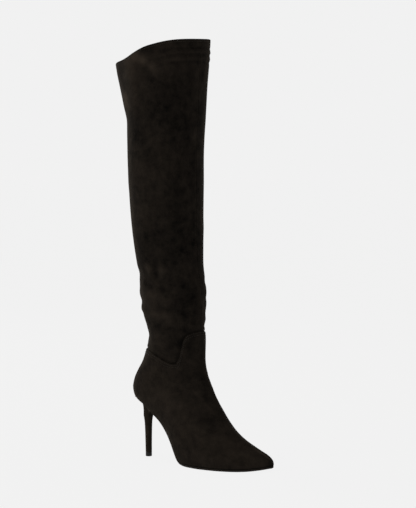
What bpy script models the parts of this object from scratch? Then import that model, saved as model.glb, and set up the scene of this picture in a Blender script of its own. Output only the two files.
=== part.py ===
"""Thigh high boot for the right foot, in black suede, with a pointed toe and a slim covered heel.

Lengths are worked out in millimetres. Places along the foot are measured forward of the back of the heel,
sideways places toward the wearer's left are positive, and heights are above the floor. The finished pieces
stand with the middle of their footprint over the origin, toe toward +X.
"""
import math
from bisect import bisect_right
from collections import namedtuple

import bmesh
import bpy
from mathutils import Vector

MM = 0.001

# Driving sizes
FOOT_LENGTH = 229.5
BALL_HALF_WIDTH = 39.2
HEEL_SEAT_HEIGHT = 86.5
HEEL_TIP_AT = 20.0
INSTEP_HEIGHT = 128.0
COLLAR_HEIGHT = 566.5
COLLAR_RISE = 18.5
TOE_SPRING = 4.4

# Thicknesses and clearances
WALL = 1.8
SOLE_FORE = 3.0
SOLE_WAIST = 2.4
INSOLE_THICKNESS = 2.2
GAP = 0.3
SOLE_MARGIN = WALL + 0.2
SOLE_ROUND = 0.9
TOP_PIECE_HEIGHT = 6.2

# Height of the lasting edge, where the upper turns under, along the foot
FEATHER_AT = (0, 11, 21, 29, 39, 49, 61, 74, 85, 93, 99, 105, 111, 119, 129, 139, 171, 181, 191, 205, 219, FOOT_LENGTH)
FEATHER_HEIGHT = (HEEL_SEAT_HEIGHT, 84.2, 81.2, 78.4, 73.5, 67.5, 59.5, 46.5, 31.5, 18, 9.5, 5.4, 3.9, 3.3, 3.1,
                  SOLE_FORE, SOLE_FORE, SOLE_FORE, 3.1, 3.6, 5.3, TOE_SPRING + SOLE_FORE)

# Sections of the last, from the toe back to the heel, which the foot panel's wall covers. Each lies in a plane
# from the lasting edge (base) to the ridge of the vamp (top). Wide is the half width at the widest share of
# the way up, and feather the half width at the lasting edge. Crown rounds the top: 2 is an ellipse, and less
# is more of a ridge.
FootSection = namedtuple("FootSection", "base_at top_at top_height wide feather base_side ridge_side widest crown")
FOOT = [
    FootSection(FOOT_LENGTH, FOOT_LENGTH, 11.5, 0.0, 0.0, 8.0, 8.0, 0.30, 2.0),
    FootSection(228.6, 228.2, 15.0, 4.3, 3.5, 7.8, 8.0, 0.30, 2.0),
    FootSection(225.3, 224.3, 18.0, 8.6, 7.4, 7.2, 7.6, 0.30, 1.9),
    FootSection(219.6, 217.8, 21.7, 13.6, 12.2, 6.4, 7.0, 0.28, 1.8),
    FootSection(209.5, 206.5, 26.5, 20.8, 19.5, 5.4, 6.2, 0.26, 1.6),
    FootSection(196.5, 192.0, 33.0, 29.3, 27.5, 3.8, 5.2, 0.24, 1.5),
    FootSection(181.0, 175.5, 42.0, 35.2, 33.2, 2.0, 4.2, 0.22, 1.45),
    FootSection(164.0, 161.0, 54.5, 38.4, 36.2, -0.2, 3.0, 0.22, 1.42),
    FootSection(147.0, 150.5, 69.0, BALL_HALF_WIDTH, 36.4, -2.2, 2.0, 0.23, 1.42),
    FootSection(130.0, 143.0, 82.0, 38.6, 34.5, -4.0, 1.2, 0.25, 1.45),
    FootSection(115.0, 137.5, 91.0, 37.4, 31.5, -5.0, 0.6, 0.28, 1.5),
    FootSection(102.0, 133.8, 97.5, 36.0, 28.5, -5.2, 0.3, 0.31, 1.55),
    FootSection(90.0, 130.8, 102.5, 34.8, 26.0, -4.8, 0.0, 0.34, 1.6),
    FootSection(77.0, 128.5, 106.5, 33.8, 24.5, -3.6, 0.0, 0.37, 1.65),
    FootSection(62.0, 126.6, 110.0, 33.0, 24.0, -2.2, 0.0, 0.39, 1.7),
    FootSection(46.0, 124.9, 113.5, 32.4, 24.0, -1.0, 0.0, 0.41, 1.75),
    FootSection(31.0, 123.4, 117.0, 32.0, 22.4, -0.3, 0.0, 0.42, 1.8),
    FootSection(19.5, 122.2, 120.3, 31.6, 18.8, 0.0, 0.0, 0.43, 1.8),
    FootSection(11.8, 121.2, 123.6, 31.4, 13.4, 0.0, 0.0, 0.43, 1.8),
    FootSection(7.3, 120.4, 126.4, 31.2, 7.2, 0.0, 0.0, 0.43, 1.85),
    FootSection(5.8, 119.8, INSTEP_HEIGHT, 31.1, 0.0, 0.0, 0.0, 0.43, 1.85),
]
SEAT_BACK = len(FOOT) - 1
MIDDLE = FOOT_LENGTH / 2

# Sections of the leg, from the heel curve up to the collar: closed rings from the back to the front. The
# shaft's wall lines them. The foot's shape fades into the leg's over the first rows.
LegSection = namedtuple("LegSection", "back_at back_height front_at front_height wide")
LEG = [
    LegSection(3.2, 91.0, 118.8, 131.5, 31.0),
    LegSection(1.8, 98.5, 117.6, 136.5, 31.0),
    LegSection(5.0, 111.0, 116.3, 143.5, 31.3),
    LegSection(11.8, 123.0, 115.4, 152.0, 32.0),
    LegSection(19.0, 134.5, 114.7, 161.0, 32.8),
    LegSection(24.6, 146.5, 114.0, 170.0, 33.4),
    LegSection(27.0, 159.0, 113.5, 179.5, 33.4),
    LegSection(28.2, 172.0, 113.3, 189.5, 33.8),
    LegSection(26.0, 186.0, 113.7, 200.5, 35.0),
    LegSection(20.6, 201.0, 114.6, 212.5, 37.0),
    LegSection(17.0, 217.0, 115.3, 225.5, 39.3),
    LegSection(15.6, 235.0, 114.3, 240.0, 40.6),
    LegSection(14.2, 255.0, 111.3, 256.5, 41.0),
    LegSection(10.4, 276.0, 108.0, 276.0, 42.6),
    LegSection(6.8, 300.0, 106.9, 300.0, 45.4),
    LegSection(3.4, 330.0, 105.8, 330.0, 48.2),
    LegSection(1.0, 360.0, 105.6, 360.0, 49.9),
    LegSection(-0.8, 390.0, 105.8, 390.0, 50.9),
    LegSection(-2.3, 420.0, 105.6, 420.0, 51.5),
    LegSection(-2.8, 450.0, 106.7, 450.0, 52.2),
    LegSection(-3.6, 472.0, 108.2, 472.0, 53.4),
    LegSection(-8.6, 496.0, 109.3, 496.0, 55.8),
    LegSection(-14.0, 520.0, 110.2, 520.0, 58.7),
    LegSection(-18.6, 540.0, 111.6, 540.0, 61.3),
    LegSection(-21.2, 560.0, 113.3, 560.0, 63.2),
    LegSection(-21.8, 600.0, 115.0, 600.0, 64.2),
]
LEG_WIDEST = 0.5
ROUND = 2.0
HEEL_SQUARE = 2.3
LEG_FADE_ROWS = 8

# Seam between foot and shaft: low at the sides, with a tab that rises over the instep. Turns are degrees
# round the section, from 0 at the back to 180 at the front.
SEAM_TURN = (0, 45, 59, 72, 89, 100, 110, 120, 125, 129, 132, 135, 138, 144, 153, 165, 180)
SEAM_HEIGHT = (155.8, 155.2, 154.2, 152.0, 148.0, 144.4, 140.8, 138.6, 139.6, 147.0, 158.0, 168.0, 174.4, 179.2,
               181.8, 183.2, 184.0)
SEAM_REACH = 0.5

# Slim heel: the back, front and half width of the stem, from the lift up to where it spreads to the seat
StemRing = namedtuple("StemRing", "height back front half_width")
STEM = [
    StemRing(TOP_PIECE_HEIGHT + GAP, -4.5, 4.3, 4.4),
    StemRing(20.0, -4.9, 4.3, 4.5),
    StemRing(38.0, -5.6, 4.5, 4.8),
    StemRing(50.0, -6.4, 4.8, 5.4),
    StemRing(58.0, -7.6, 5.8, 6.8),
]
SPREAD_ROWS = 6
SPREAD_POWER = 3.7
BREAST_AT = 46.6
BREAST_STEPS = 5
TOP_PIECE_SIDES = 20

# Ends of the insole, as stations counted from the toe
INSOLE_TOE_STATION = 0.8
INSOLE_SEAT_STATION = SEAT_BACK - 0.3

# Rows and columns of the meshes
COLUMN_TURNS = (0, 12, 24, 36, 48, 60, 72, 82, 92, 102, 112, 120, 125, 129.5, 134, 139, 146, 156, 168, 180)
SEAM_ROWS = 6
SHAFT_ROWS = 26
ROOT_SEARCH_STEPS = 40
OUTLINE_REACH = 0.05
MERGE_DISTANCE = 0.01
SHARP_ANGLE = 40.0

# Finishes: colour as red, green and blue in linear light, and roughness
SUEDE = ("black_suede", (0.010, 0.009, 0.008), 0.95)
SOLE_LEATHER = ("black_sole_leather", (0.008, 0.008, 0.008), 0.45)
INSOLE_LEATHER = ("insole_leather", (0.012, 0.011, 0.011), 0.6)
LIFT_RUBBER = ("lift_rubber", (0.006, 0.006, 0.006), 0.5)


def smooth(keys, values, at):
    """Value at a place on a smooth curve through the rows that never overshoots them."""
    last = len(keys) - 1
    if at <= keys[0]:
        return values[0]
    if at >= keys[last]:
        return values[last]
    row = bisect_right(keys, at) - 1

    def steep(index):
        return (values[index + 1] - values[index]) / (keys[index + 1] - keys[index])

    def slope(index):
        if index == 0:
            return steep(0)
        if index == last:
            return steep(last - 1)
        before, after = steep(index - 1), steep(index)
        if before * after <= 0.0:
            return 0.0
        return 2.0 * before * after / (before + after)

    span = keys[row + 1] - keys[row]
    t = (at - keys[row]) / span
    start, end = values[row], values[row + 1]
    pull_start, pull_end = slope(row) * span, slope(row + 1) * span
    return ((2 * t ** 3 - 3 * t ** 2 + 1) * start + (t ** 3 - 2 * t ** 2 + t) * pull_start
            + (3 * t ** 2 - 2 * t ** 3) * end + (t ** 3 - t ** 2) * pull_end)


def ease(t):
    """Smooth step from 0 to 1."""
    t = min(1.0, max(0.0, t))
    return t * t * (3.0 - 2.0 * t)


def feather_height(at):
    return smooth(FEATHER_AT, FEATHER_HEIGHT, at)


def column(name, station):
    """A column of the foot's table at a station, which may lie between two rows."""
    return smooth(range(len(FOOT)), [getattr(row, name) for row in FOOT], station)


def section_columns():
    """Every station of the boot, toe to collar, as lists of values that a section needs."""
    lists = dict(base_at=[], base_z=[], top_at=[], top_z=[], wide=[], widest=[], crown=[], square=[])
    for row in FOOT:
        near_heel = ease((MIDDLE - row.base_at) / MIDDLE)
        lists["base_at"].append(row.base_at)
        lists["base_z"].append(feather_height(row.base_at))
        lists["top_at"].append(row.top_at)
        lists["top_z"].append(row.top_height)
        lists["wide"].append(row.wide)
        lists["widest"].append(row.widest)
        lists["crown"].append(row.crown)
        lists["square"].append(ROUND + (HEEL_SQUARE - ROUND) * near_heel)
    for number, row in enumerate(LEG):
        up = ease(number / LEG_FADE_ROWS)
        lists["base_at"].append(row.back_at)
        lists["base_z"].append(row.back_height)
        lists["top_at"].append(row.front_at)
        lists["top_z"].append(row.front_height)
        lists["wide"].append(row.wide)
        lists["widest"].append(FOOT[-1].widest + (LEG_WIDEST - FOOT[-1].widest) * up)
        lists["crown"].append(FOOT[-1].crown + (ROUND - FOOT[-1].crown) * up)
        lists["square"].append(HEEL_SQUARE + (ROUND - HEEL_SQUARE) * up)
    return lists


SECTIONS = section_columns()
STATIONS = range(len(FOOT) + len(LEG))


def surface(station, turn, side):
    """Point of the last or the leg. Side is -1 for the outer side of the foot and 1 for the inner."""
    value = {name: smooth(STATIONS, column_values, station) for name, column_values in SECTIONS.items()}
    feather, base_side, ridge_side = 0.0, 0.0, 0.0
    if station < SEAT_BACK:
        feather = column("feather", station)
        base_side = column("base_side", station)
        ridge_side = column("ridge_side", station)
    wide, widest = value["wide"], value["widest"]
    angle = math.radians(turn)
    if turn <= 90.0:
        share = widest * (1.0 - math.cos(angle))
        power = value["square"]
        low = (feather / wide) ** power if wide > 0.0 else 0.0
        half = wide * (low + (1.0 - low) * (1.0 - math.cos(angle) ** power)) ** (1.0 / power)
    else:
        rise = -math.cos(angle)
        share = widest + (1.0 - widest) * rise
        power = value["crown"]
        half = wide * max(0.0, 1.0 - rise ** power) ** (1.0 / power)
    at = value["base_at"] + (value["top_at"] - value["base_at"]) * share
    height = value["base_z"] + (value["top_z"] - value["base_z"]) * share
    across = base_side + (ridge_side - base_side) * share + side * half
    return Vector((at, across, height))


def seam_height(turn):
    return smooth(SEAM_TURN, SEAM_HEIGHT, turn)


def seam_clearance(turn):
    """Upright gap that leaves the seam's clearance square to its slope."""
    rise = seam_height(turn + SEAM_REACH) - seam_height(turn - SEAM_REACH)
    run = 2 * math.radians(SEAM_REACH) * BALL_HALF_WIDTH
    return GAP * math.hypot(1.0, rise / run)


def collar_height(turn):
    forward = -math.cos(math.radians(turn))
    return COLLAR_HEIGHT + COLLAR_RISE * (1.5 * forward - 0.5 * forward ** 3)


def station_at_height(turn, height):
    """Station above the seat where a column of the surface reaches a height."""
    low, high = float(SEAT_BACK), float(len(STATIONS) - 1)
    for _ in range(ROOT_SEARCH_STEPS):
        middle = (low + high) / 2
        if surface(middle, turn, 1.0).z < height:
            low = middle
        else:
            high = middle
    return (low + high) / 2


def foot_point(row, turn, side):
    """Inside of the foot panel: whole stations to the seat, then even rows to the seam."""
    if row <= SEAT_BACK:
        return surface(float(row), turn, side)
    top = station_at_height(turn, seam_height(turn))
    return surface(SEAT_BACK + (top - SEAT_BACK) * (row - SEAT_BACK) / SEAM_ROWS, turn, side)


def shaft_point(row, turn, side):
    """Outside of the shaft, from the seam to the collar."""
    bottom = station_at_height(turn, seam_height(turn) + seam_clearance(turn))
    top = station_at_height(turn, collar_height(turn))
    return surface(bottom + (top - bottom) * row / SHAFT_ROWS, turn, side)


def material(name, colour, roughness):
    finish = bpy.data.materials.new(name)
    finish.use_nodes = True
    shader = finish.node_tree.nodes["Principled BSDF"]
    shader.inputs["Base Color"].default_value = (*colour, 1.0)
    shader.inputs["Roughness"].default_value = roughness
    shader.inputs["Metallic"].default_value = 0.0
    return finish


def add_object(name, mesh_data, finish, collection):
    """Object in the collection, with its finish and smooth faces."""
    piece = bpy.data.objects.new(name, mesh_data)
    collection.objects.link(piece)
    mesh_data.materials.append(finish)
    mesh_data.shade_smooth()
    mesh_data.set_sharp_from_angle(angle=math.radians(SHARP_ANGLE))
    return piece


def finish_mesh(name, shape, finish, collection, closed=True):
    """Object from a bmesh, with its doubles merged and, where it is closed, its faces turned outward."""
    bmesh.ops.remove_doubles(shape, verts=shape.verts, dist=MERGE_DISTANCE * MM)
    bmesh.ops.dissolve_degenerate(shape, edges=shape.edges, dist=MERGE_DISTANCE * MM)
    if closed:
        bmesh.ops.recalc_face_normals(shape, faces=shape.faces)
    mesh_data = bpy.data.meshes.new(name)
    shape.to_mesh(mesh_data)
    shape.free()
    return add_object(name, mesh_data, finish, collection)


def add_shell(name, rows, point, way, finish, collection):
    """Wall of even thickness on a grid that runs round from the inner side over the front to the outer.

    It grows outward from the grid where way is 1 and inward where it is -1. Its lower rim is levelled to the
    lasting edge.
    """
    turns = [(turn, 1.0) for turn in COLUMN_TURNS] + [(turn, -1.0) for turn in reversed(COLUMN_TURNS)]
    grid = bmesh.new()
    net = [[grid.verts.new(point(row, turn, side) * MM) for turn, side in turns] for row in range(rows + 1)]
    for lower, upper in zip(net, net[1:]):
        for index in range(len(turns) - 1):
            grid.faces.new((lower[index], upper[index], upper[index + 1], lower[index + 1]))
    piece = finish_mesh(name, grid, finish, collection, closed=False)
    wall = piece.modifiers.new("wall", "SOLIDIFY")
    wall.thickness = WALL * MM
    wall.offset = way
    wall.use_even_offset = True
    thick = bpy.data.meshes.new_from_object(piece.evaluated_get(bpy.context.evaluated_depsgraph_get()))
    piece.modifiers.remove(wall)
    piece.data = thick
    for vertex in thick.vertices:
        vertex.co.z = max(vertex.co.z, feather_height(vertex.co.x / MM) * MM)
    return piece


def feather_outline(first, last, margin):
    """Pairs of outline points, outer and inner side, from the toe back, grown outward by a margin."""
    stations = [first] + [float(row) for row in range(len(FOOT)) if first < row < last] + [last]

    def edge(station, side):
        return Vector((column("base_at", station), column("base_side", station) + side * column("feather", station)))

    pairs = []
    for station in stations:
        pair = []
        for side in (-1.0, 1.0):
            ahead = edge(max(station - OUTLINE_REACH, 0.0), side)
            behind = edge(min(station + OUTLINE_REACH, float(SEAT_BACK)), side)
            along = (behind - ahead).normalized()
            outward = Vector((-along.y, along.x)) * -side
            pair.append(edge(station, side) + outward * margin)
        pairs.append(pair)
    return pairs


def add_slab(name, layers, finish, collection):
    """Closed slab from stacked layers of outline pairs; a layer gives each pair its height."""
    slab = bmesh.new()
    rings = []
    for pairs, height in layers:
        outer = [slab.verts.new(Vector((pair[0].x, pair[0].y, height(pair[0].x))) * MM) for pair in pairs]
        inner = [slab.verts.new(Vector((pair[1].x, pair[1].y, height(pair[1].x))) * MM) for pair in pairs]
        rings.append((outer, inner))
    for below, above in zip(rings, rings[1:]):
        for lower, upper in zip(below, above):
            for index in range(len(lower) - 1):
                slab.faces.new((lower[index], lower[index + 1], upper[index + 1], upper[index]))
        for end in (0, -1):
            slab.faces.new((below[0][end], below[1][end], above[1][end], above[0][end]))
    for outer, inner in (rings[0], rings[-1]):
        for index in range(len(outer) - 1):
            slab.faces.new((outer[index], outer[index + 1], inner[index + 1], inner[index]))
    return finish_mesh(name, slab, finish, collection)


def station_of(at):
    """Station of the foot whose lasting edge lies at a place along the foot."""
    low, high = 0.0, float(SEAT_BACK)
    for _ in range(ROOT_SEARCH_STEPS):
        middle = (low + high) / 2
        if column("base_at", middle) > at:
            low = middle
        else:
            high = middle
    return (low + high) / 2


def add_outsole(finish, collection):
    """Thin sole from the toe to the heel's breast, flat under the ball, with its lower edge rounded off."""
    last = station_of(BREAST_AT + GAP)

    def bottom(at):
        waist = ease((MIDDLE - at) / (MIDDLE / 2))
        return max(0.0, feather_height(at) - SOLE_FORE - (SOLE_WAIST - SOLE_FORE) * waist)

    layers = [
        (feather_outline(0.0, last, SOLE_MARGIN - SOLE_ROUND), bottom),
        (feather_outline(0.0, last, SOLE_MARGIN), lambda at: bottom(at) + SOLE_ROUND),
        (feather_outline(0.0, last, SOLE_MARGIN), lambda at: feather_height(at) - GAP),
    ]
    return add_slab("outsole", layers, finish, collection)


def add_insole(finish, collection):
    """Board that closes the inside of the upper from toe to seat."""
    outline = feather_outline(INSOLE_TOE_STATION, INSOLE_SEAT_STATION, -2 * GAP)
    layers = [(outline, lambda at: feather_height(at) + GAP),
              (outline, lambda at: feather_height(at) + GAP + INSOLE_THICKNESS)]
    return add_slab("insole", layers, finish, collection)


def stem_point(ring, around):
    """Point of a stem ring at a turn from straight ahead, in radians."""
    reach = ring.front if math.cos(around) > 0.0 else -ring.back
    return Vector((HEEL_TIP_AT + reach * math.cos(around), ring.half_width * math.sin(around), ring.height))


def add_heel(finish, collection):
    """Slim heel: a stem that spreads to the outline of the seat, with a plain breast at its front."""
    pairs = feather_outline(station_of(BREAST_AT), float(SEAT_BACK), -GAP)
    outer = [pair[0] for pair in pairs]
    inner = [pair[1] for pair in pairs]
    front = [inner[0].lerp(outer[0], step / BREAST_STEPS) for step in range(1, BREAST_STEPS)]
    seat = outer + inner[-2::-1] + front
    turns = [math.atan2(point.y, point.x - HEEL_TIP_AT) for point in seat]
    rings = [[stem_point(ring, around) for around in turns] for ring in STEM]
    for step in range(1, SPREAD_ROWS + 1):
        rise = step / SPREAD_ROWS
        ring = []
        for point, start in zip(seat, rings[len(STEM) - 1]):
            end = Vector((point.x, point.y, feather_height(point.x) - GAP))
            across = start.xy.lerp(end.xy, rise ** SPREAD_POWER)
            ring.append(Vector((across.x, across.y, start.z + (end.z - start.z) * rise)))
        rings.append(ring)
    heel = bmesh.new()
    net = [[heel.verts.new(point * MM) for point in ring] for ring in rings]
    for lower, upper in zip(net, net[1:]):
        for index in range(len(seat)):
            following = (index + 1) % len(seat)
            heel.faces.new((lower[index], lower[following], upper[following], upper[index]))
    heel.faces.new(net[0])
    top = net[-1]
    last = len(outer) - 1
    opposite = [top[2 * last - index] for index in range(last + 1)]
    heel.faces.new([top[0], top[1], opposite[1], opposite[0]] + top[2 * last + 1:])
    for index in range(1, last - 1):
        heel.faces.new((top[index], top[index + 1], opposite[index + 1], opposite[index]))
    heel.faces.new((top[last - 1], top[last], opposite[last - 1]))
    return finish_mesh("heel", heel, finish, collection)


def add_top_piece(finish, collection):
    """Lift under the stem, with the stem's own outline."""
    ring = STEM[0]
    turns = [2 * math.pi * step / TOP_PIECE_SIDES for step in range(TOP_PIECE_SIDES)]
    lift = bmesh.new()
    levels = []
    for height in (0.0, TOP_PIECE_HEIGHT):
        points = [stem_point(ring._replace(height=height), around) for around in turns]
        levels.append([lift.verts.new(point * MM) for point in points])
    for index in range(TOP_PIECE_SIDES):
        following = (index + 1) % TOP_PIECE_SIDES
        lift.faces.new((levels[0][index], levels[0][following], levels[1][following], levels[1][index]))
    for level in levels:
        lift.faces.new(level)
    return finish_mesh("top_piece", lift, finish, collection)


def main():
    for old in list(bpy.data.objects):
        bpy.data.objects.remove(old)
    collection = bpy.data.collections.new("thigh_high_boot")
    bpy.context.scene.collection.children.link(collection)
    suede = material(*SUEDE)
    pieces = [
        add_shell("upper", SEAT_BACK + SEAM_ROWS, foot_point, 1.0, suede, collection),
        add_shell("shaft", SHAFT_ROWS, shaft_point, -1.0, suede, collection),
        add_outsole(material(*SOLE_LEATHER), collection),
        add_insole(material(*INSOLE_LEATHER), collection),
        add_heel(suede, collection),
        add_top_piece(material(*LIFT_RUBBER), collection),
    ]
    corners = [vertex.co for piece in pieces for vertex in piece.data.vertices]
    middle = [(min(c[axis] for c in corners) + max(c[axis] for c in corners)) / 2 for axis in (0, 1)]
    centre = bpy.data.objects.new("boot_centre", None)
    centre.location = (-middle[0], -middle[1], 0.0)
    collection.objects.link(centre)
    for piece in pieces:
        piece.parent = centre


main()
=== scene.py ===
"""Finish of a thigh high boot for the right foot: black suede on a pointed last with a slim covered heel.

Lengths are in millimetres, forward of the back of the heel, toward the wearer's left and above the floor, as
in the boot's own drawing. place() brings them to the frame's metres.
"""
import math
from collections import namedtuple
from functools import partial

import bmesh
import bpy
import numpy as np
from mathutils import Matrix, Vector


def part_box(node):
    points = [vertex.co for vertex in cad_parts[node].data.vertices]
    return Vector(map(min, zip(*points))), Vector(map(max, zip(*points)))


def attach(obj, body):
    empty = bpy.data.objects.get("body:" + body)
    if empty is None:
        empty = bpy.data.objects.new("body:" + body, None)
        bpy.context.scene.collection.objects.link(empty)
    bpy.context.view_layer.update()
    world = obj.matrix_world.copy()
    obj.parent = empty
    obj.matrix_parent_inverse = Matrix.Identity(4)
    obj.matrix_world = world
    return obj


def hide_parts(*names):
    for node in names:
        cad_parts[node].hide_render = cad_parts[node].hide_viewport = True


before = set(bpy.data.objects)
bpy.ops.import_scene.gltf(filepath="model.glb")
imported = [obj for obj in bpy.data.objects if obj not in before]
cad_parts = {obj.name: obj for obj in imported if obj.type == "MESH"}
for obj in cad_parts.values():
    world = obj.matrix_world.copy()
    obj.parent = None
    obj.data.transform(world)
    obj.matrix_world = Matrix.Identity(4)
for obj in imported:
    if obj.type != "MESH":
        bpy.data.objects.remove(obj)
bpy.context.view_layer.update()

bl_info = {
    "name": "Thigh High Boot",
    "version": (1, 0, 0),
    "blender": (4, 5, 0),
    "location": "3D View > Sidebar > Boot",
    "description": "Builds the suede, lining, stitches, heel and sole of a thigh high boot",
    "category": "Object",
}

MM = 0.001

# Driving sizes of the last and the leg
FOOT_LENGTH = 229.5
BALL_HALF_WIDTH = 39.2
HEEL_SEAT_HEIGHT = 86.5
HEEL_TIP_AT = 20.0
INSTEP_HEIGHT = 128.0
COLLAR_HEIGHT = 566.5
COLLAR_RISE = 18.5
TOE_SPRING = 4.4
MIDDLE = FOOT_LENGTH / 2

# Wall of the foot panel, which covers the last, and the sole, insole and heel
WALL = 1.8
SOLE_FORE = 3.0
SOLE_WAIST = 2.4
SOLE_MARGIN = WALL + 0.2
INSOLE_THICKNESS = 2.2
GAP = 0.3
TOP_PIECE_HEIGHT = 6.2
BREAST_AT = 46.6
BREAST_HOLLOW = 1.2
SPREAD_POWER = 3.7

# Height of the lasting edge, where the upper turns under, along the foot
FEATHER_AT = (0, 11, 21, 29, 39, 49, 61, 74, 85, 93, 99, 105, 111, 119, 129, 139, 171, 181, 191, 205, 219,
              FOOT_LENGTH)
FEATHER_HEIGHT = (HEEL_SEAT_HEIGHT, 84.2, 81.2, 78.4, 73.5, 67.5, 59.5, 46.5, 31.5, 18, 9.5, 5.4, 3.9, 3.3,
                  3.1, SOLE_FORE, SOLE_FORE, SOLE_FORE, 3.1, 3.6, 5.3, TOE_SPRING + SOLE_FORE)

# Sections of the last, from the toe back to the heel. Each lies in a plane from the lasting edge (base) to
# the ridge of the vamp (top). Wide is the half width at the widest share of the way up, and feather the half
# width at the lasting edge. Crown rounds the top: 2 is an ellipse, and less is more of a ridge.
FootSection = namedtuple(
    "FootSection", "base_at top_at top_height wide feather base_side ridge_side widest crown")
FOOT = [FootSection(*row) for row in (
    (FOOT_LENGTH, FOOT_LENGTH, 11.5, 0.0, 0.0, 8.0, 8.0, 0.30, 2.0),
    (228.6, 228.2, 15.0, 4.3, 3.5, 7.8, 8.0, 0.30, 2.0),
    (225.3, 224.3, 18.0, 8.6, 7.4, 7.2, 7.6, 0.30, 1.9),
    (219.6, 217.8, 21.7, 13.6, 12.2, 6.4, 7.0, 0.28, 1.8),
    (209.5, 206.5, 26.5, 20.8, 19.5, 5.4, 6.2, 0.26, 1.6),
    (196.5, 192.0, 33.0, 29.3, 27.5, 3.8, 5.2, 0.24, 1.5),
    (181.0, 175.5, 42.0, 35.2, 33.2, 2.0, 4.2, 0.22, 1.45),
    (164.0, 161.0, 54.5, 38.4, 36.2, -0.2, 3.0, 0.22, 1.42),
    (147.0, 150.5, 69.0, BALL_HALF_WIDTH, 36.4, -2.2, 2.0, 0.23, 1.42),
    (130.0, 143.0, 82.0, 38.6, 34.5, -4.0, 1.2, 0.25, 1.45),
    (115.0, 137.5, 91.0, 37.4, 31.5, -5.0, 0.6, 0.28, 1.5),
    (102.0, 133.8, 97.5, 36.0, 28.5, -5.2, 0.3, 0.31, 1.55),
    (90.0, 130.8, 102.5, 34.8, 26.0, -4.8, 0.0, 0.34, 1.6),
    (77.0, 128.5, 106.5, 33.8, 24.5, -3.6, 0.0, 0.37, 1.65),
    (62.0, 126.6, 110.0, 33.0, 24.0, -2.2, 0.0, 0.39, 1.7),
    (46.0, 124.9, 113.5, 32.4, 24.0, -1.0, 0.0, 0.41, 1.75),
    (31.0, 123.4, 117.0, 32.0, 22.4, -0.3, 0.0, 0.42, 1.8),
    (19.5, 122.2, 120.3, 31.6, 18.8, 0.0, 0.0, 0.43, 1.8),
    (11.8, 121.2, 123.6, 31.4, 13.4, 0.0, 0.0, 0.43, 1.8),
    (7.3, 120.4, 126.4, 31.2, 7.2, 0.0, 0.0, 0.43, 1.85),
    (5.8, 119.8, INSTEP_HEIGHT, 31.1, 0.0, 0.0, 0.0, 0.43, 1.85),
)]
SEAT_BACK = len(FOOT) - 1

# Sections of the leg, from the heel curve up to the collar: closed rings from the back to the front. The
# foot's shape fades into the leg's over the first rows.
LegSection = namedtuple("LegSection", "back_at back_height front_at front_height wide")
LEG = [LegSection(*row) for row in (
    (3.2, 91.0, 118.8, 131.5, 31.0),
    (1.8, 98.5, 117.6, 136.5, 31.0),
    (5.0, 111.0, 116.3, 143.5, 31.3),
    (11.8, 123.0, 115.4, 152.0, 32.0),
    (19.0, 134.5, 114.7, 161.0, 32.8),
    (24.6, 146.5, 114.0, 170.0, 33.4),
    (27.0, 159.0, 113.5, 179.5, 33.4),
    (28.2, 172.0, 113.3, 189.5, 33.8),
    (26.0, 186.0, 113.7, 200.5, 35.0),
    (20.6, 201.0, 114.6, 212.5, 37.0),
    (17.0, 217.0, 115.3, 225.5, 39.3),
    (15.6, 235.0, 114.3, 240.0, 40.6),
    (14.2, 255.0, 111.3, 256.5, 41.0),
    (10.4, 276.0, 108.0, 276.0, 42.6),
    (6.8, 300.0, 106.9, 300.0, 45.4),
    (3.4, 330.0, 105.8, 330.0, 48.2),
    (1.0, 360.0, 105.6, 360.0, 49.9),
    (-0.8, 390.0, 105.8, 390.0, 50.9),
    (-2.3, 420.0, 105.6, 420.0, 51.5),
    (-2.8, 450.0, 106.7, 450.0, 52.2),
    (-3.6, 472.0, 108.2, 472.0, 53.4),
    (-8.6, 496.0, 109.3, 496.0, 55.8),
    (-14.0, 520.0, 110.2, 520.0, 58.7),
    (-18.6, 540.0, 111.6, 540.0, 61.3),
    (-21.2, 560.0, 113.3, 560.0, 63.2),
    (-21.8, 600.0, 115.0, 600.0, 64.2),
)]
LEG_WIDEST = 0.5
ROUND = 2.0
HEEL_SQUARE = 2.3
LEG_FADE_ROWS = 8

# Seam between foot and shaft: low at the sides, with a tab that rises over the instep. Turns are degrees
# round the section, from 0 at the back to 180 at the front.
SEAM_TURN = (0, 45, 59, 72, 89, 100, 110, 120, 125, 129, 132, 135, 138, 144, 153, 165, 180)
SEAM_HEIGHT = (155.8, 155.2, 154.2, 152.0, 148.0, 144.4, 140.8, 138.6, 139.6, 147.0, 158.0, 168.0, 174.4,
               179.2, 181.8, 183.2, 184.0)
SEAM_REACH = 0.5
SEAM_LAP = 20.0
OFFSET_FADE = 2.5
DISTANCE_BATCH = 4000
ROOT_SEARCH_STEPS = 32

# Slim heel: the back, front and half width of the stem, from the lift up to where it spreads to the seat
StemRing = namedtuple("StemRing", "height back front half_width")
STEM = [
    StemRing(TOP_PIECE_HEIGHT, -4.5, 4.3, 4.4),
    StemRing(20.0, -4.9, 4.3, 4.5),
    StemRing(38.0, -5.6, 4.5, 4.8),
    StemRing(50.0, -6.4, 4.8, 5.4),
    StemRing(58.0, -7.6, 5.8, 6.8),
]

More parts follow.
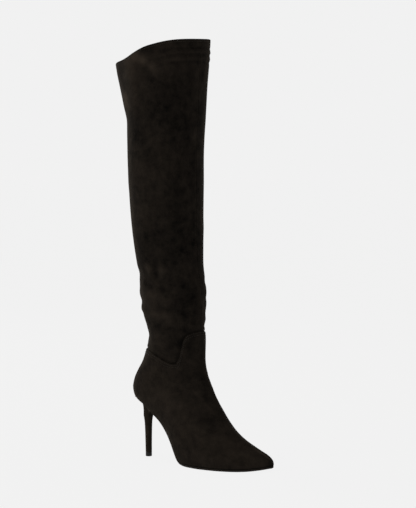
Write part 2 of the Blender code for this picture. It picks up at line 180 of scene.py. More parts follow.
# Creases and swells of the leather. Around is degrees round the leg from the centre front, with the outer
# side negative and the back at -180 or 180. A crease runs from one place to the other, bowed upward in the
# middle by bow, with a half width and a lift that is negative for a trough.
Crease = namedtuple("Crease", "around height to_around to_height bow width lift")
ANKLE_CREASES = [Crease(*row) for row in (
    (-178, 259, -120, 263, 0, 7.0, -1.2), (-112, 247, -92, 243, 2, 3.4, -1.5),
    (-82, 243, -62, 238, 1, 3.8, -1.2), (-182, 236, -140, 234, 0, 6.0, 1.0),
    (-122, 232, -60, 226, 3, 5.0, 1.1), (-178, 224, -112, 220, 0, 5.0, -1.2),
    (-86, 216, -62, 213, 0, 3.6, -1.2), (-182, 213, -120, 208, 0, 5.0, 1.2),
    (-112, 205, -66, 207, 1, 3.8, 1.3), (-150, 205, -112, 214, 0, 4.0, -0.8),
    (-126, 196, -84, 192, 0, 4.2, -1.1), (-74, 194, -24, 196, 1, 4.2, 0.9),
    (-70, 186, -30, 188, 0, 3.0, -0.7), (-178, 178, -124, 174, 0, 7.0, -1.1),
    (-50, 256, -34, 238, 0, 4.0, 0.8), (-24, 240, -12, 224, 0, 4.0, -0.8),
    (-8, 242, 4, 212, 0, 4.5, 1.0), (-44, 247, -24, 243, 0, 4.0, -0.9),
    (-37, 264, -25, 254, 0, 5.0, 0.7), (-34, 224, -26, 206, 0, 4.0, 1.0),
    (-52, 212, -38, 208, 0, 3.6, -0.8), (-20, 214, -10, 206, 0, 3.6, -0.8),
    (-95, 278, -94, 256, 0, 3.6, 1.1), (-82, 276, -84, 254, 0, 3.4, -0.9),
    (-70, 280, -72, 256, 0, 3.6, 1.1), (-36, 190, -2, 192, 0, 2.4, 1.1),
    (178, 234, 70, 247, 4, 6.5, 1.1), (172, 223, 52, 236, 3, 5.5, -1.4),
    (182, 212, 62, 220, 1, 5.5, 1.3), (150, 203, 36, 208, 0, 5.0, -1.0),
    (122, 197, 28, 199, 0, 5.0, 1.0), (132, 187, 22, 189, 0, 4.5, -0.9),
    (64, 256, 12, 246, 0, 5.0, -0.9), (44, 231, 6, 221, 0, 4.5, -1.1),
    (108, 276, 98, 254, 0, 5.0, 0.8),
)]
LEG_CREASES = [Crease(*row) for row in (
    (-86, 592, -96, 500, 0, 12.0, 1.6), (-66, 592, -70, 515, 0, 11.0, -1.1),
    (-112, 588, -116, 520, 0, 10.0, -0.8), (92, 592, 88, 510, 0, 14.0, 1.0),
    (-150, 470, -60, 486, 0, 12.0, -0.8), (-120, 330, -84, 300, 0, 11.0, -0.7),
    (-60, 350, -40, 290, 0, 10.0, 0.6), (-136, 380, -110, 420, 0, 12.0, 0.6),
    (-40, 420, -30, 340, 0, 10.0, -0.6), (60, 420, 90, 380, 0, 14.0, -0.8),
    (40, 330, 80, 300, 0, 12.0, 0.8), (130, 350, 160, 300, 0, 12.0, -0.8),
)]
FOOT_CREASES = [Crease(*row) for row in (
    (-62, 118, -28, 128, 0, 9.0, -0.8), (-90, 132, -50, 150, 0, 8.0, 0.6),
    (58, 118, 26, 128, 0, 9.0, -0.7), (-170, 140, -110, 132, 0, 8.0, -0.5),
)]
CREASE_END = 0.22
LAPS = (-360.0, 0.0, 360.0)

# Patches where the suede is made lighter (above 0) or darker: partly brushed nap and partly painted light
# and shade
NapAndPaintedLightPatch = namedtuple("NapAndPaintedLightPatch", "around height reach lighter")
SHAFT_NAP_AND_PAINTED_LIGHT = [NapAndPaintedLightPatch(*row) for row in (
    (-87, 562, 7, 4.2), (-100, 556, 9, 0.8), (-76, 556, 6, 4.4), (-66, 547, 6, 3.2),
    (-60, 539, 6, 1.2), (-100, 545, 16, 0.8), (-117, 505, 8, 2.8), (-113, 492, 7, 1.8),
    (-96, 486, 16, 0.5), (-30, 545, 26, 0.4), (-44, 514, 20, -0.5), (-50, 482, 18, -0.6),
    (-12, 505, 14, 0.3), (-30, 462, 18, -0.5), (-4, 452, 9, 1.4), (-96, 452, 14, -0.6),
    (-80, 425, 14, -0.6), (-92, 404, 18, 0.9), (-60, 385, 20, 0.4), (-20, 400, 26, -0.4),
    (-34, 350, 30, -0.4), (-28, 302, 30, -0.9), (-46, 230, 18, -0.5), (-30, 216, 14, -0.4),
    (-96, 345, 20, 0.5), (-62, 320, 16, -0.4), (-95, 269, 6, 1.5), (-70, 268, 7, 1.5),
    (-82, 264, 4, -0.4), (-106, 243, 5, -0.4), (-48, 237, 8, 0.5), (-14, 228, 6, -0.3),
    (-34, 252, 16, -0.4), (-20, 262, 12, 0.4), (-30, 205, 16, -0.5), (-92, 224, 14, 0.8),
    (-92, 204, 8, 1.2), (-72, 205, 8, 1.2), (-70, 213, 5, -0.7), (-48, 170, 10, -1.3),
    (-86, 170, 12, 0.4), (80, 470, 40, 0.4), (110, 350, 40, -0.4),
)]
FOOT_NAP_AND_PAINTED_LIGHT = [NapAndPaintedLightPatch(*row) for row in (
    (-104, 100, 50, 0.75), (-60, 40, 60, 0.55), (-60, 96, 10, -0.6), (-46, 116, 9, -0.5),
    (-28, 90, 9, -0.8), (-48, 66, 10, -0.8), (-62, 52, 9, -0.7), (-16, 118, 12, -0.9),
    (-82, 112, 10, -0.6), (-90, 88, 16, 0.4), (-84, 32, 10, -0.6), (-44, 40, 8, 0.5),
    (-39, 99, 4, 1.2), (-34, 92, 4, 1.2), (-30, 84, 4, 0.9), (-66, 55, 4, 1.1), (-61, 50, 4, 1.1),
    # The strong patches low on the toe's ridge, at -10 to -14 degrees, are a painted highlight
    (-48, 52, 7, -0.7), (-55, 20, 8, 0.5), (-10, 23, 5, 2.4), (-12, 18, 4, 2.6),
    (-14, 14, 3.5, 2.0), (60, 90, 40, 0.6), (90, 40, 50, 0.6),
)]

# Nap of the heel's cover, the darker line just above the sole, and the painted sheen, lighter where the
# surface turns away from the eye
HEEL_NAP = 1.2
SOLE_EDGE_DARKENING = 3.2
SOLE_EDGE_DARK_REACH = 1.3
PAINTED_SHEEN_FROM = 0.5
PAINTED_SHEEN = 3.0

# Reflection of the smooth leathers
LINING_SHINE = 0.2
SOLE_SHINE = 0.04

# Ridges and troughs that run beside a line: the edges of the facing, down from the topline, and the leather
# beside the ankle seam, the centre seams and the rows of stitches
Ridge = namedtuple("Ridge", "away width lift")
FACING_BANDS = (
    Ridge(12.6, 2.0, -0.60),
    Ridge(17.5, 2.0, 0.70),
    Ridge(21.7, 1.9, -0.55),
    Ridge(27.0, 2.3, 0.60),
    Ridge(31.8, 2.3, -0.60),
)
ANKLE_SEAM = (Ridge(0.6, 1.6, -0.5), Ridge(4.8, 1.7, 0.45))
CENTRE_SEAM = (Ridge(2.0, 1.2, 0.18), Ridge(0.0, 0.6, -0.45))
STITCH_DENT_WIDTH = 0.7
STITCH_DENT = 0.16

# How far the layers are drawn in above the ankle seam and over what height, how far above it the creases
# reach their depth, and how strongly the facing's edges and the seam show as painted shade in the nap
SHAFT_TUCK = 0.15
LINING_TUCK = 0.7
TUCK_REACH = 12.0
CREASE_CLEAR = 9.0
BAND_PAINTED_SHADE = 2.0
SEAM_PAINTED_SHADE = 0.75

# Degrees from the centre front between which the facing's edges fade
BAND_FULL = 28.0
BAND_GONE = 82.0

# Soft unevenness of the worn topline: places in degrees round the leg, and drops in millimetres
ToplineSag = namedtuple("ToplineSag", "around reach drop")
TOPLINE_SAGS = [
    ToplineSag(-131, 14, -1.6),
    ToplineSag(-99, 13, 1.7),
    ToplineSag(-74, 9, -0.8),
]

# Steps of the meshes: millimetres down from a finished edge, and degrees from a centre seam
SEAM_STEPS = (-5.0, -2.5, -1.0, -0.5, -0.1, 0.3, 0.7, 1.1, 1.6, 2.2, 3.0, 4.0, 5.2, 6.8, 8.8, 11.0)
EDGE_STEPS = (0.0, 0.12, 0.3, 0.55, 0.9, 1.4, 2.1, 3.0, 4.0, 5.2, 6.6, 8.2, 10.0)
SEAM_TURNS = (0.0, 0.35, 0.7, 1.1, 1.6, 2.3, 3.3, 4.6, 6.3)
COLUMN_STEP = 2.6
TAB_STEP = 1.1
TAB_SPAN = (116.0, 152.0)
ROW_STEP = 2.7
LINING_ROW_STEP = 1.6 * ROW_STEP
TOE_END = 4.0
FOOT_PANEL_ROWS = (37, 78)
LINING_ROWS = (13, 50)
UNDER_SEAM_ROWS = 12
FACING_ROWS = 8
LEG_LENGTH = COLLAR_HEIGHT - SEAM_HEIGHT[0]

# Turned edges, the foot panel's thinner rim, and the gaps and overlaps of the layers, in millimetres
EDGE_ROLL = 0.55
FAR = 99.0
SEAM_THINNING = 0.7
SEAM_THIN_REACH = 5.0
FOOT_CREASES_TO = 140.0
FACING_GAP = 0.05
FACING_ROLL = 0.4
FACING_THICKER = 0.1
LINING_GAP = 0.06
LINING_OVERLAP = 1.5

# Distance under which points are merged, and degrees from which an edge is sharp
MERGE_DISTANCE = 0.01
SHARP_ANGLE = 45.0

# Shares of a station over which directions along the surface are measured
EDGE_REACH = 0.05
UP_REACH = 0.02

# Steps of the heel and the insole, and how the heel's breast is hollowed
FINE_STEP = 0.12
SEAT_MARGIN = 0.1
BREAST_STEPS = 14
STEM_STEPS = 34
SPREAD_STEPS = 40
HOLLOW_POWER = 1.5
LIFT_SIDES = 48

# Eased edges: a height, or a rise from the face, and how far the outline is drawn in there. The insole's
# heights are shares of its thickness.
LIFT_EDGE = ((0.0, 0.55), (0.12, 0.28), (0.35, 0.08), (0.7, 0.0), (TOP_PIECE_HEIGHT - 0.7, 0.0),
             (TOP_PIECE_HEIGHT - 0.4, 0.08), (TOP_PIECE_HEIGHT - 0.22, 0.3), (TOP_PIECE_HEIGHT - 0.18, 0.7))
SOLE_LOWER_EDGE = ((0.0, 6.0), (0.0, 1.3), (0.08, 0.85), (0.3, 0.45), (0.6, 0.18), (1.0, 0.02))
SOLE_UPPER_EDGE = ((-0.55, 0.0), (-0.25, 0.1), (-0.08, 0.35), (-0.04, 0.8), (-0.04, 6.0))
SOLE_STEP = 0.09
SOLE_ACROSS = 10
INSOLE_EDGE = ((0.0, 0.0), (0.6, 0.0), (0.82, 0.3), (0.95, 1.0), (1.0, 3.6))
INSOLE_STATIONS = (0.8, SEAT_BACK - 0.3)
INSOLE_ACROSS = 6

# Places of the stitch rows, in millimetres from the edge that each follows
TOPLINE_ROW = 3.2
SEAM_ROWS_DOWN = (1.7, 4.7)
THREAD_OUT = 0.1
STITCH_SWAY = 0.06
STITCH_SIDES = 6
STITCH_RINGS = 5

# The camera stands where the photo's did, in metres, and looks at the middle of the picture
CAMERA_AT = (1.8841, -2.3462, 0.5359)
CAMERA_LOOKS_AT = (0.0246, -0.0047, 0.2918)
CAMERA_LENS = 155.4
CAMERA_SEES = 100.0
StudioLight = namedtuple("StudioLight", "name at toward size power")
STUDIO_LIGHTS = (
    StudioLight("key", (-1.15, -2.15, 1.45), (0.0, 0.0, 0.33), 1.5, 26.0),
    StudioLight("edge", (-1.9, 0.1, 0.9), (0.0, 0.0, 0.35), 1.2, 22.0),
    StudioLight("top", (0.1, -0.4, 2.6), (0.0, 0.0, 0.2), 1.6, 10.0),
)
LIGHT_TINT = (1.0, 0.965, 0.92)
WORLD_TINT = (1.0, 0.99, 0.97, 1.0)
WORLD_LIGHT = 0.45

# Floor, in metres. Most of its light is its own, so that it shows even. It fades between two shares of its
# radius.
FLOOR_RADIUS = 9.0
FLOOR_SIDES = 96
FLOOR_DROP = 0.0004
FLOOR_GLOW = 1.004
FLOOR_GLOW_SHARE = 0.985
FLOOR_FADE = (0.35, 0.95)


def smooth(keys, values, at):
    """Values at places on a smooth curve through the rows that never overshoots them."""
    keys = np.asarray(keys, float)
    values = np.asarray(values, float)
    at = np.clip(np.asarray(at, float), keys[0], keys[-1])
    spans = np.diff(keys)
    steep = np.diff(values) / spans
    same_way = steep[:-1] * steep[1:] > 0.0
    total = np.where(same_way, steep[:-1] + steep[1:], 1.0)
    inner = np.where(same_way, 2.0 * steep[:-1] * steep[1:] / total, 0.0)
    slopes = np.concatenate(([steep[0]], inner, [steep[-1]]))
    row = np.clip(np.searchsorted(keys, at, side="right") - 1, 0, len(keys) - 2)
    t = (at - keys[row]) / spans[row]
    pull_start = slopes[row] * spans[row]
    pull_end = slopes[row + 1] * spans[row]
    return ((2 * t ** 3 - 3 * t ** 2 + 1) * values[row] + (t ** 3 - 2 * t ** 2 + t) * pull_start
            + (3 * t ** 2 - 2 * t ** 3) * values[row + 1] + (t ** 3 - t ** 2) * pull_end)


def ease(t):
    """Smooth step from 0 to 1."""
    t = np.clip(t, 0.0, 1.0)
    return t * t * (3.0 - 2.0 * t)


def hill(distance, width):
    """Smooth hill: 1 at no distance, and almost nothing at twice its width."""
    return np.exp(-((distance / width) ** 2))


def ridges(rows, distance):
    """Sum of ridges and troughs beside a line, by distance from it."""
    return sum(row.lift * hill(distance - row.away, row.width) for row in rows)


def halve(low, high, short_of):
    """Place between low and high where short_of stops being true."""
    for _ in range(ROOT_SEARCH_STEPS):
        middle = (low + high) / 2
        short = short_of(middle)
        low = np.where(short, middle, low)
        high = np.where(short, high, middle)
    return (low + high) / 2


def feather_height(at):
    """Height of the lasting edge at places along the foot."""
    return smooth(FEATHER_AT, FEATHER_HEIGHT, at)


def foot_column(name, station):
    """A column of the foot's table at stations that may lie between two rows."""
    return smooth(range(len(FOOT)), [getattr(row, name) for row in FOOT], station)


def section_columns():
    """Columns of the values that a section needs, with every station of the boot from toe to collar."""
    rows = []
    for row in FOOT:
        square = ROUND + (HEEL_SQUARE - ROUND) * ease((MIDDLE - row.base_at) / MIDDLE)
        rows.append((row.base_at, feather_height(row.base_at), row.top_at, row.top_height,
                     row.wide, row.widest, row.crown, square))
    heel = FOOT[-1]
    for number, row in enumerate(LEG):
        up = ease(number / LEG_FADE_ROWS)
        rows.append((row.back_at, row.back_height, row.front_at, row.front_height,
                     row.wide, heel.widest + (LEG_WIDEST - heel.widest) * up,
                     heel.crown + (ROUND - heel.crown) * up, HEEL_SQUARE + (ROUND - HEEL_SQUARE) * up))
    return list(zip(*rows))


SECTIONS = section_columns()
STATIONS = range(len(FOOT) + len(LEG))


def surface(station, turn, side):
    """Points of the last and the leg. Side is -1 for the outer side of the foot and 1 for the inner."""
    station, turn, side = np.broadcast_arrays(*(np.asarray(value, float) for value in (station, turn, side)))
    base_at, base_z, top_at, top_z, wide, widest, crown, square = (
        smooth(STATIONS, column, station) for column in SECTIONS)
    feather, base_side, ridge_side = (
        np.where(station < SEAT_BACK, foot_column(name, station), 0.0)
        for name in ("feather", "base_side", "ridge_side"))
    rise = -np.cos(np.radians(turn))
    low = (feather / np.where(wide > 0.0, wide, 1.0)) ** square
    drop = np.clip(-rise, 0.0, 1.0) ** square
    low_half = wide * (low + (1.0 - low) * (1.0 - drop)) ** (1.0 / square)
    high_half = wide * (1.0 - np.clip(rise, 0.0, 1.0) ** crown) ** (1.0 / crown)
    half = np.where(rise <= 0.0, low_half, high_half)
    share = np.where(rise <= 0.0, widest * (1.0 + rise), widest + (1.0 - widest) * rise)
    at = base_at + (top_at - base_at) * share
    across = base_side + (ridge_side - base_side) * share + side * half
    return np.stack((at, across, base_z + (top_z - base_z) * share), axis=-1)


def seam_height(turn):
    """Height of the seam between foot and shaft, by turn round the leg."""
    return smooth(SEAM_TURN, SEAM_HEIGHT, turn)


def degree_length(height):
    """Millimetres round the leg for one degree of turn, by height."""
    rows = [FOOT[-1], *LEG]
    heights = [FEATHER_HEIGHT[0]] + [(row.back_height + row.front_height) / 2 for row in LEG]
    reaches = [(rows[0].top_at - rows[0].base_at) / 2] + [(row.front_at - row.back_at) / 2 for row in LEG]
    means = [(row.wide + reach) / 2 for row, reach in zip(rows, reaches)]
    return np.radians(smooth(heights, means, height))


def seam_stretch(turn):
    """Upright distance for each millimetre square to the seam's slope."""
    rise = seam_height(turn + SEAM_REACH) - seam_height(turn - SEAM_REACH)
    return np.hypot(1.0, rise / (2 * SEAM_REACH * degree_length(seam_height(turn))))


def seam_offset(turn, distance):
    """Upright offset of a line that starts square to the seam and evens out away from it."""
    steep = (seam_stretch(turn) - 1.0) * OFFSET_FADE
    return distance + np.sign(distance) * steep * (1.0 - np.exp(-np.abs(distance) / OFFSET_FADE))


def seam_distance(turn, height):
    """Distance from the seam on the unrolled leg, positive above it."""
    line_turn = np.arange(-SEAM_LAP, 180.0 + SEAM_LAP + SEAM_REACH, SEAM_REACH)
    line_height = seam_height(180.0 - np.abs(180.0 - np.abs(line_turn)))
    degree = degree_length(SEAM_HEIGHT[0])
    flat_turn, flat_height = (np.ravel(value) for value in np.broadcast_arrays(turn, height))
    nearest = np.empty(flat_turn.shape)
    for start in range(0, len(nearest), DISTANCE_BATCH):
        batch = slice(start, start + DISTANCE_BATCH)
        out = (flat_turn[batch, None] - line_turn) * degree
        up = flat_height[batch, None] - line_height
        nearest[batch] = np.sqrt(np.min(out ** 2 + up ** 2, axis=1))
    nearest = nearest.reshape(np.broadcast(turn, height).shape)
    return np.where(height < seam_height(turn), -nearest, nearest)


def collar_height(turn, side):
    """Height of the topline, which sinks a little between two soft corners on the outer side."""
    forward = -np.cos(np.radians(turn))
    level = COLLAR_HEIGHT + COLLAR_RISE * (1.5 * forward - 0.5 * forward ** 3)
    for sag in TOPLINE_SAGS:
        level = level - sag.drop * hill(around(turn, side) - sag.around, sag.reach)
    return level


def station_at_height(turn, height):
    """Stations above the seat where columns of the surface reach their heights."""
    turn, height = np.broadcast_arrays(np.asarray(turn, float), np.asarray(height, float))
    low = np.full(turn.shape, float(SEAT_BACK))
    high = np.full(turn.shape, float(len(STATIONS) - 1))
    return halve(low, high, lambda station: surface(station, turn, 1.0)[..., 2] < height)


def place_forward():
    """Shift along the foot from the drawing to the frame, found at the lift under the heel."""
    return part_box("top_piece")[0].x / MM - (HEEL_TIP_AT + STEM[0].back)


def place(points):
    """The drawing's millimetres as the frame's metres."""
    return (np.asarray(points, float) + (place_forward(), 0.0, 0.0)) * MM


def columns(step):
    """Turns and sides of a grid's columns, from the inner side over the front to the outer side."""
    near = list(SEAM_TURNS)
    below = np.linspace(near[-1], TAB_SPAN[0], int((TAB_SPAN[0] - near[-1]) / step))[1:-1]
    tab = np.arange(TAB_SPAN[0], TAB_SPAN[1], TAB_STEP)
    above = np.linspace(TAB_SPAN[1], 180.0 - near[-1], int((180.0 - near[-1] - TAB_SPAN[1]) / step) + 2)[:-1]
    turns = near + [*below, *tab, *above] + [180.0 - turn for turn in reversed(near)]
    there = [(turn, 1.0) for turn in turns]
    back = [(turn, -1.0) for turn in reversed(turns[:-1])]
    return np.array([turn for turn, _ in there + back]), np.array([side for _, side in there + back])


def around(turn, side):
    """Degrees from the centre front, negative on the outer side."""
    return side * (180.0 - turn)


def crease_lift(creases, here, height):
    """Sum of the creases at places round the leg and up it, in millimetres."""
    total = np.zeros(np.broadcast(here, height).shape)
    for crease in creases:
        degree = float(degree_length((crease.height + crease.to_height) / 2))
        along = np.array(((crease.to_around - crease.around) * degree, crease.to_height - crease.height))
        length = float(np.hypot(*along))
        way = along / length
        for lap in LAPS:
            out = (here + lap - crease.around) * degree
            up = height - crease.height
            share = (out * way[0] + up * way[1]) / length
            inside = np.clip(share, 0.0, 1.0)
            off = up * way[0] - out * way[1] - crease.bow * 4.0 * inside * (1.0 - inside)
            begun = ease((share + CREASE_END) / (2 * CREASE_END))
            left = ease((1.0 + CREASE_END - share) / (2 * CREASE_END))
            total = total + crease.lift * begun * left * hill(off, crease.width)
    return total


def brushed_and_painted_light(patches, here, height):
    """How much lighter the suede is painted at places round the leg and up it, for brushed nap and painted
    light.
    """
    total = np.zeros(np.broadcast(here, height).shape)
    for patch in patches:
        for lap in LAPS:
            out = (here + lap - patch.around) * degree_length(patch.height)
            total = total + patch.lighter * hill(np.hypot(out, height - patch.height), patch.reach)
    return total


def centre_seam(degrees, height):
    """Groove of a closed seam with a small swell on both sides, by degrees from its line."""
    return ridges(CENTRE_SEAM, np.abs(degrees) * degree_length(height))


def grid_object(name, points, lift, thickness, values=None, level_rim=False):
    """Leather panel on a grid of points.

    The panel's outside is raised by lift along its normals, given its thickness inward, and its values are
    kept as attributes for the material. A level rim is cut to the lasting edge.
    """
    rows, cols = points.shape[:2]
    index = np.arange(rows * cols).reshape(rows, cols)
    faces = np.stack((index[:-1, :-1], index[1:, :-1], index[1:, 1:], index[:-1, 1:]), axis=-1).reshape(-1, 4)
    mesh = bpy.data.meshes.new(name)
    mesh.from_pydata(place(points).reshape(-1, 3).tolist(), [], faces.tolist())
    held = {"raise_by": lift, **(values or {})}
    for key, field in held.items():
        layer = mesh.attributes.new(key, "FLOAT", "POINT")
        layer.data.foreach_set("value", np.broadcast_to(field, (rows, cols)).astype(np.float32).ravel())
    shape = bmesh.new()
    shape.from_mesh(mesh)
    bmesh.ops.remove_doubles(shape, verts=shape.verts, dist=MERGE_DISTANCE * MM)
    raise_by = shape.verts.layers.float["raise_by"]
    shape.normal_update()
    moved = [vertex.co + vertex.normal * vertex[raise_by] * MM for vertex in shape.verts]
    for vertex, spot in zip(shape.verts, moved):
        vertex.co = spot
    shape.to_mesh(mesh)
    shape.free()
    piece = add_object(name, mesh)
    wall = piece.modifiers.new("wall", "SOLIDIFY")
    wall.thickness = thickness
    wall.offset = -1.0
    flatten(piece)
    if level_rim:
        level_to_feather(piece.data)
    finish_shading(piece.data)
    return piece


def level_to_feather(mesh):
    """Brings what dips under the lasting edge up to it."""
    forward = place_forward()
    spots = np.empty(len(mesh.vertices) * 3)
    mesh.vertices.foreach_get("co", spots)
    spots = spots.reshape(-1, 3)
    spots[:, 2] = np.maximum(spots[:, 2], feather_height(spots[:, 0] / MM - forward) * MM)
    mesh.vertices.foreach_set("co", spots.ravel())
    mesh.update()


def add_object(name, data):
    """New object in the scene that holds a mesh, a lamp or a camera."""
    piece = bpy.data.objects.new(name, data)
    bpy.context.scene.collection.objects.link(piece)
    return piece


def flatten(piece):
    """Applies the piece's modifiers to its mesh."""
    depsgraph = bpy.context.evaluated_depsgraph_get()
    solid = bpy.data.meshes.new_from_object(piece.evaluated_get(depsgraph))
    piece.modifiers.clear()
    old = piece.data
    piece.data = solid
    bpy.data.meshes.remove(old)
    solid.name = piece.name


def finish_shading(mesh):
    """Smooth shading, broken at sharp edges."""
    mesh.shade_smooth()
    mesh.set_sharp_from_angle(angle=math.radians(SHARP_ANGLE))


def rings_object(name, rings, strips=False):
    """Solid from a stack of closed rings of points. Its ends are fans, or strips laid across."""
    shape = bmesh.new()
    net = [[shape.verts.new(spot) for spot in place(ring)] for ring in rings]
    count = len(rings[0])
    for lower, upper in zip(net, net[1:]):
        for index in range(count):
            following = (index + 1) % count
            shape.faces.new((lower[index], lower[following], upper[following], upper[index]))
    for ring in (net[0], net[-1]):
        sides = [(ring[index], ring[(index + 1) % count]) for index in range(count)]
        if strips:
            bmesh.ops.triangle_fill(shape, edges=[shape.edges.get(side) for side in sides], use_beauty=True)
        else:
            middle = shape.verts.new(sum((vertex.co for vertex in ring), Vector()) / count)
            for side in sides:
                shape.faces.new((*side, middle))
    bmesh.ops.remove_doubles(shape, verts=shape.verts, dist=MERGE_DISTANCE * MM)
    bmesh.ops.dissolve_degenerate(shape, edges=shape.edges, dist=MERGE_DISTANCE * MM)
    bmesh.ops.recalc_face_normals(shape, faces=shape.faces)
    mesh = bpy.data.meshes.new(name)
    shape.to_mesh(mesh)
    shape.free()
    finish_shading(mesh)
    return add_object(name, mesh)


def station_of(at):
    """Station of the foot whose lasting edge lies at a place along the foot."""
    return float(halve(0.0, float(SEAT_BACK), lambda station: foot_column("base_at", station) > at))


def feather_edge(stations, side, margin):
    """Lasting edge on one side at the stations, grown outward by a margin."""

    def edge(station):
        across = foot_column("base_side", station) + side * foot_column("feather", station)
        return np.stack((foot_column("base_at", station), across), axis=-1)

    along = edge(np.minimum(stations + EDGE_REACH, SEAT_BACK)) - edge(np.maximum(stations - EDGE_REACH, 0.0))
    along = along / np.linalg.norm(along, axis=-1, keepdims=True)
    outward = np.stack((-along[:, 1], along[:, 0]), axis=-1) * -side
    return edge(stations) + outward * margin


def feather_loop(first, last, margin, step, across_steps=0):
    """Closed outline of the lasting edge between two stations, with extra points across its heel end."""
    stations = np.linspace(first, last, max(2, int(round((last - first) / step))))
    outer = feather_edge(stations, -1.0, margin)
    inner = feather_edge(stations, 1.0, margin)
    shares = np.linspace(0, 1, across_steps + 2)[1:-1]
    across = [outer[-1] + (inner[-1] - outer[-1]) * share for share in shares]
    return np.array([*outer, *across, *inner[::-1]])


class MaterialKit:
    """Adds nodes to one tree and joins them, so that each finish reads as a list of its effects."""

    def __init__(self, tree):
        self.tree = tree

    def add(self, kind, values=None, **settings):
        node = self.tree.nodes.new(kind)
        for name, value in settings.items():
            setattr(node, name, value)
        for key, value in (values or {}).items():
            self.join(value, node.inputs[key])
        return node

    def join(self, value, socket):
        """Gives a socket its value, or links it to the socket that has it."""
        if isinstance(value, bpy.types.NodeSocket):
            self.tree.links.new(value, socket)
        else:
            socket.default_value = value

    def bump(self, height, distance, strength):
        values = {"Height": height, "Distance": distance, "Strength": strength}
        return self.add("ShaderNodeBump", values).outputs[0]

    def noise(self, at, scale, detail=2.0, rough=0.5, distortion=0.0):
        """Noise centred on 0.5 at places in metres."""
        return self.add("ShaderNodeTexNoise", {
            "Vector": at, "Scale": scale, "Detail": detail, "Roughness": rough,
            "Distortion": distortion}).outputs["Fac"]

    def mix_shaders(self, share, first, second):
        return self.add("ShaderNodeMixShader", {0: share, 1: first, 2: second}).outputs[0]

    def sum(self, *parts):
        """Sum of numbers, each a socket or a socket with its weight."""
        total = None
        for part in parts:
            value, weight = part if isinstance(part, tuple) else (part, 1.0)
            values = {0: value, 1: weight, 2: 0.0 if total is None else total}
            total = self.add("ShaderNodeMath", values, operation="MULTIPLY_ADD").outputs[0]
        return total

    def blend(self, share, first, second):
        values = {"Factor": share, 6: first, 7: second}
        return self.add("ShaderNodeMix", values, data_type="RGBA").outputs[2]

    def clamp(self, value, low=0.0, high=1.0, to_low=0.0, to_high=1.0):
        values = {"Value": value, "From Min": low, "From Max": high, "To Min": to_low, "To Max": to_high}
        return self.add("ShaderNodeMapRange", values).outputs["Result"]


def new_group(name, numbers):
    """Empty shader group for a leather's look, with its kit and its two end nodes.

    It takes a place, two colours and the named numbers, and puts out a colour, a roughness and a height.
    """
    group = bpy.data.node_groups.new(name, "ShaderNodeTree")
    kinds = {"Vector": "Vector", "Dark": "Color", "Light": "Color", **dict.fromkeys(numbers, "Float")}
    for key, kind in kinds.items():
        group.interface.new_socket(key, in_out="INPUT", socket_type="NodeSocket" + kind)
    for key, kind in (("Color", "Color"), ("Roughness", "Float"), ("Height", "Float")):
        group.interface.new_socket(key, in_out="OUTPUT", socket_type="NodeSocket" + kind)
    kit = MaterialKit(group)
    return group, kit, kit.add("NodeGroupInput").outputs, kit.add("NodeGroupOutput").inputs


def nap_group():
    """Suede: cloudy brushed patches, mottle and short fibres, with the painted light and shade of its inputs.
    """
    if "suede_nap" in bpy.data.node_groups:
        return bpy.data.node_groups["suede_nap"]
    group, kit, given, put = new_group("suede_nap", ("Brushed", "Relief"))
    at = given["Vector"]
    stretched = kit.add("ShaderNodeMapping", {"Vector": at, "Scale": (1.0, 1.0, 0.55)}).outputs[0]
    patches = kit.noise(stretched, 30.0, 2.0, 0.5, 0.3)
    mottle = kit.noise(at, 100.0, 3.0, 0.5, 0.2)
    tufts = kit.noise(at, 330.0, 3.0, 0.6)
    fibres = kit.noise(stretched, 1500.0, 2.0, 0.7)
    tone = kit.sum((patches, 1.2), (mottle, 1.6), (tufts, 0.7), (fibres, 0.35), (given["Brushed"], 0.46),
                   (given["Relief"], 0.26))
    share = kit.clamp(tone, 1.2, 3.8)
    kit.join(kit.blend(share, given["Dark"], given["Light"]), put["Color"])
    kit.join(kit.clamp(tone, 1.2, 2.8, 1.0, 0.86), put["Roughness"])
    kit.join(kit.sum((mottle, 0.35), (tufts, 0.5), (fibres, 0.3)), put["Height"])
    return group


def grain_group():
    """Smooth leather: pebbled grain with fine pores and a slow change of tone."""
    if "leather_grain" in bpy.data.node_groups:
        return bpy.data.node_groups["leather_grain"]
    group, kit, given, put = new_group("leather_grain", ("Grain Size",))
    at = given["Vector"]
    cells = kit.add("ShaderNodeTexVoronoi", {"Vector": at, "Scale": given["Grain Size"]},
                    feature="DISTANCE_TO_EDGE")
    pebble = kit.clamp(cells.outputs[0], 0.0, 0.25)
    cloud = kit.noise(at, 40.0, 3.0)
    pores = kit.noise(at, 2400.0, 2.0)
    tone = kit.sum((cloud, 0.8), (pebble, 0.25), (pores, 0.2))
    kit.join(kit.blend(kit.clamp(tone, 0.35, 0.95), given["Dark"], given["Light"]), put["Color"])
    kit.join(kit.clamp(tone, 0.3, 1.0, 0.62, 0.42), put["Roughness"])
    kit.join(kit.sum((pebble, 0.7), (pores, 0.3)), put["Height"])
    return group


def principled(name, settings):
    """New material with a plain shader whose even values are set on its own sockets."""
    finish = bpy.data.materials.new(name)
    finish.use_nodes = True
    shader = finish.node_tree.nodes["Principled BSDF"]
    for key, value in settings.items():
        shader.inputs[key].default_value = value
    return finish, MaterialKit(finish.node_tree), shader.inputs


def apply_group(kit, inputs, group, values, bump_distance, bump_strength):
    """Places a group in a material and joins its colour, roughness and height to the shader."""
    look = kit.add("ShaderNodeGroup", node_tree=group)
    for key, value in values.items():
        kit.join(value, look.inputs[key])
    kit.join(look.outputs["Color"], inputs["Base Color"])
    kit.join(look.outputs["Roughness"], inputs["Roughness"])
    kit.join(kit.bump(look.outputs["Height"], bump_distance, bump_strength), inputs["Normal"])


def object_place(kit):
    """Places on the piece itself, in metres."""
    return kit.add("ShaderNodeTexCoord").outputs["Object"]


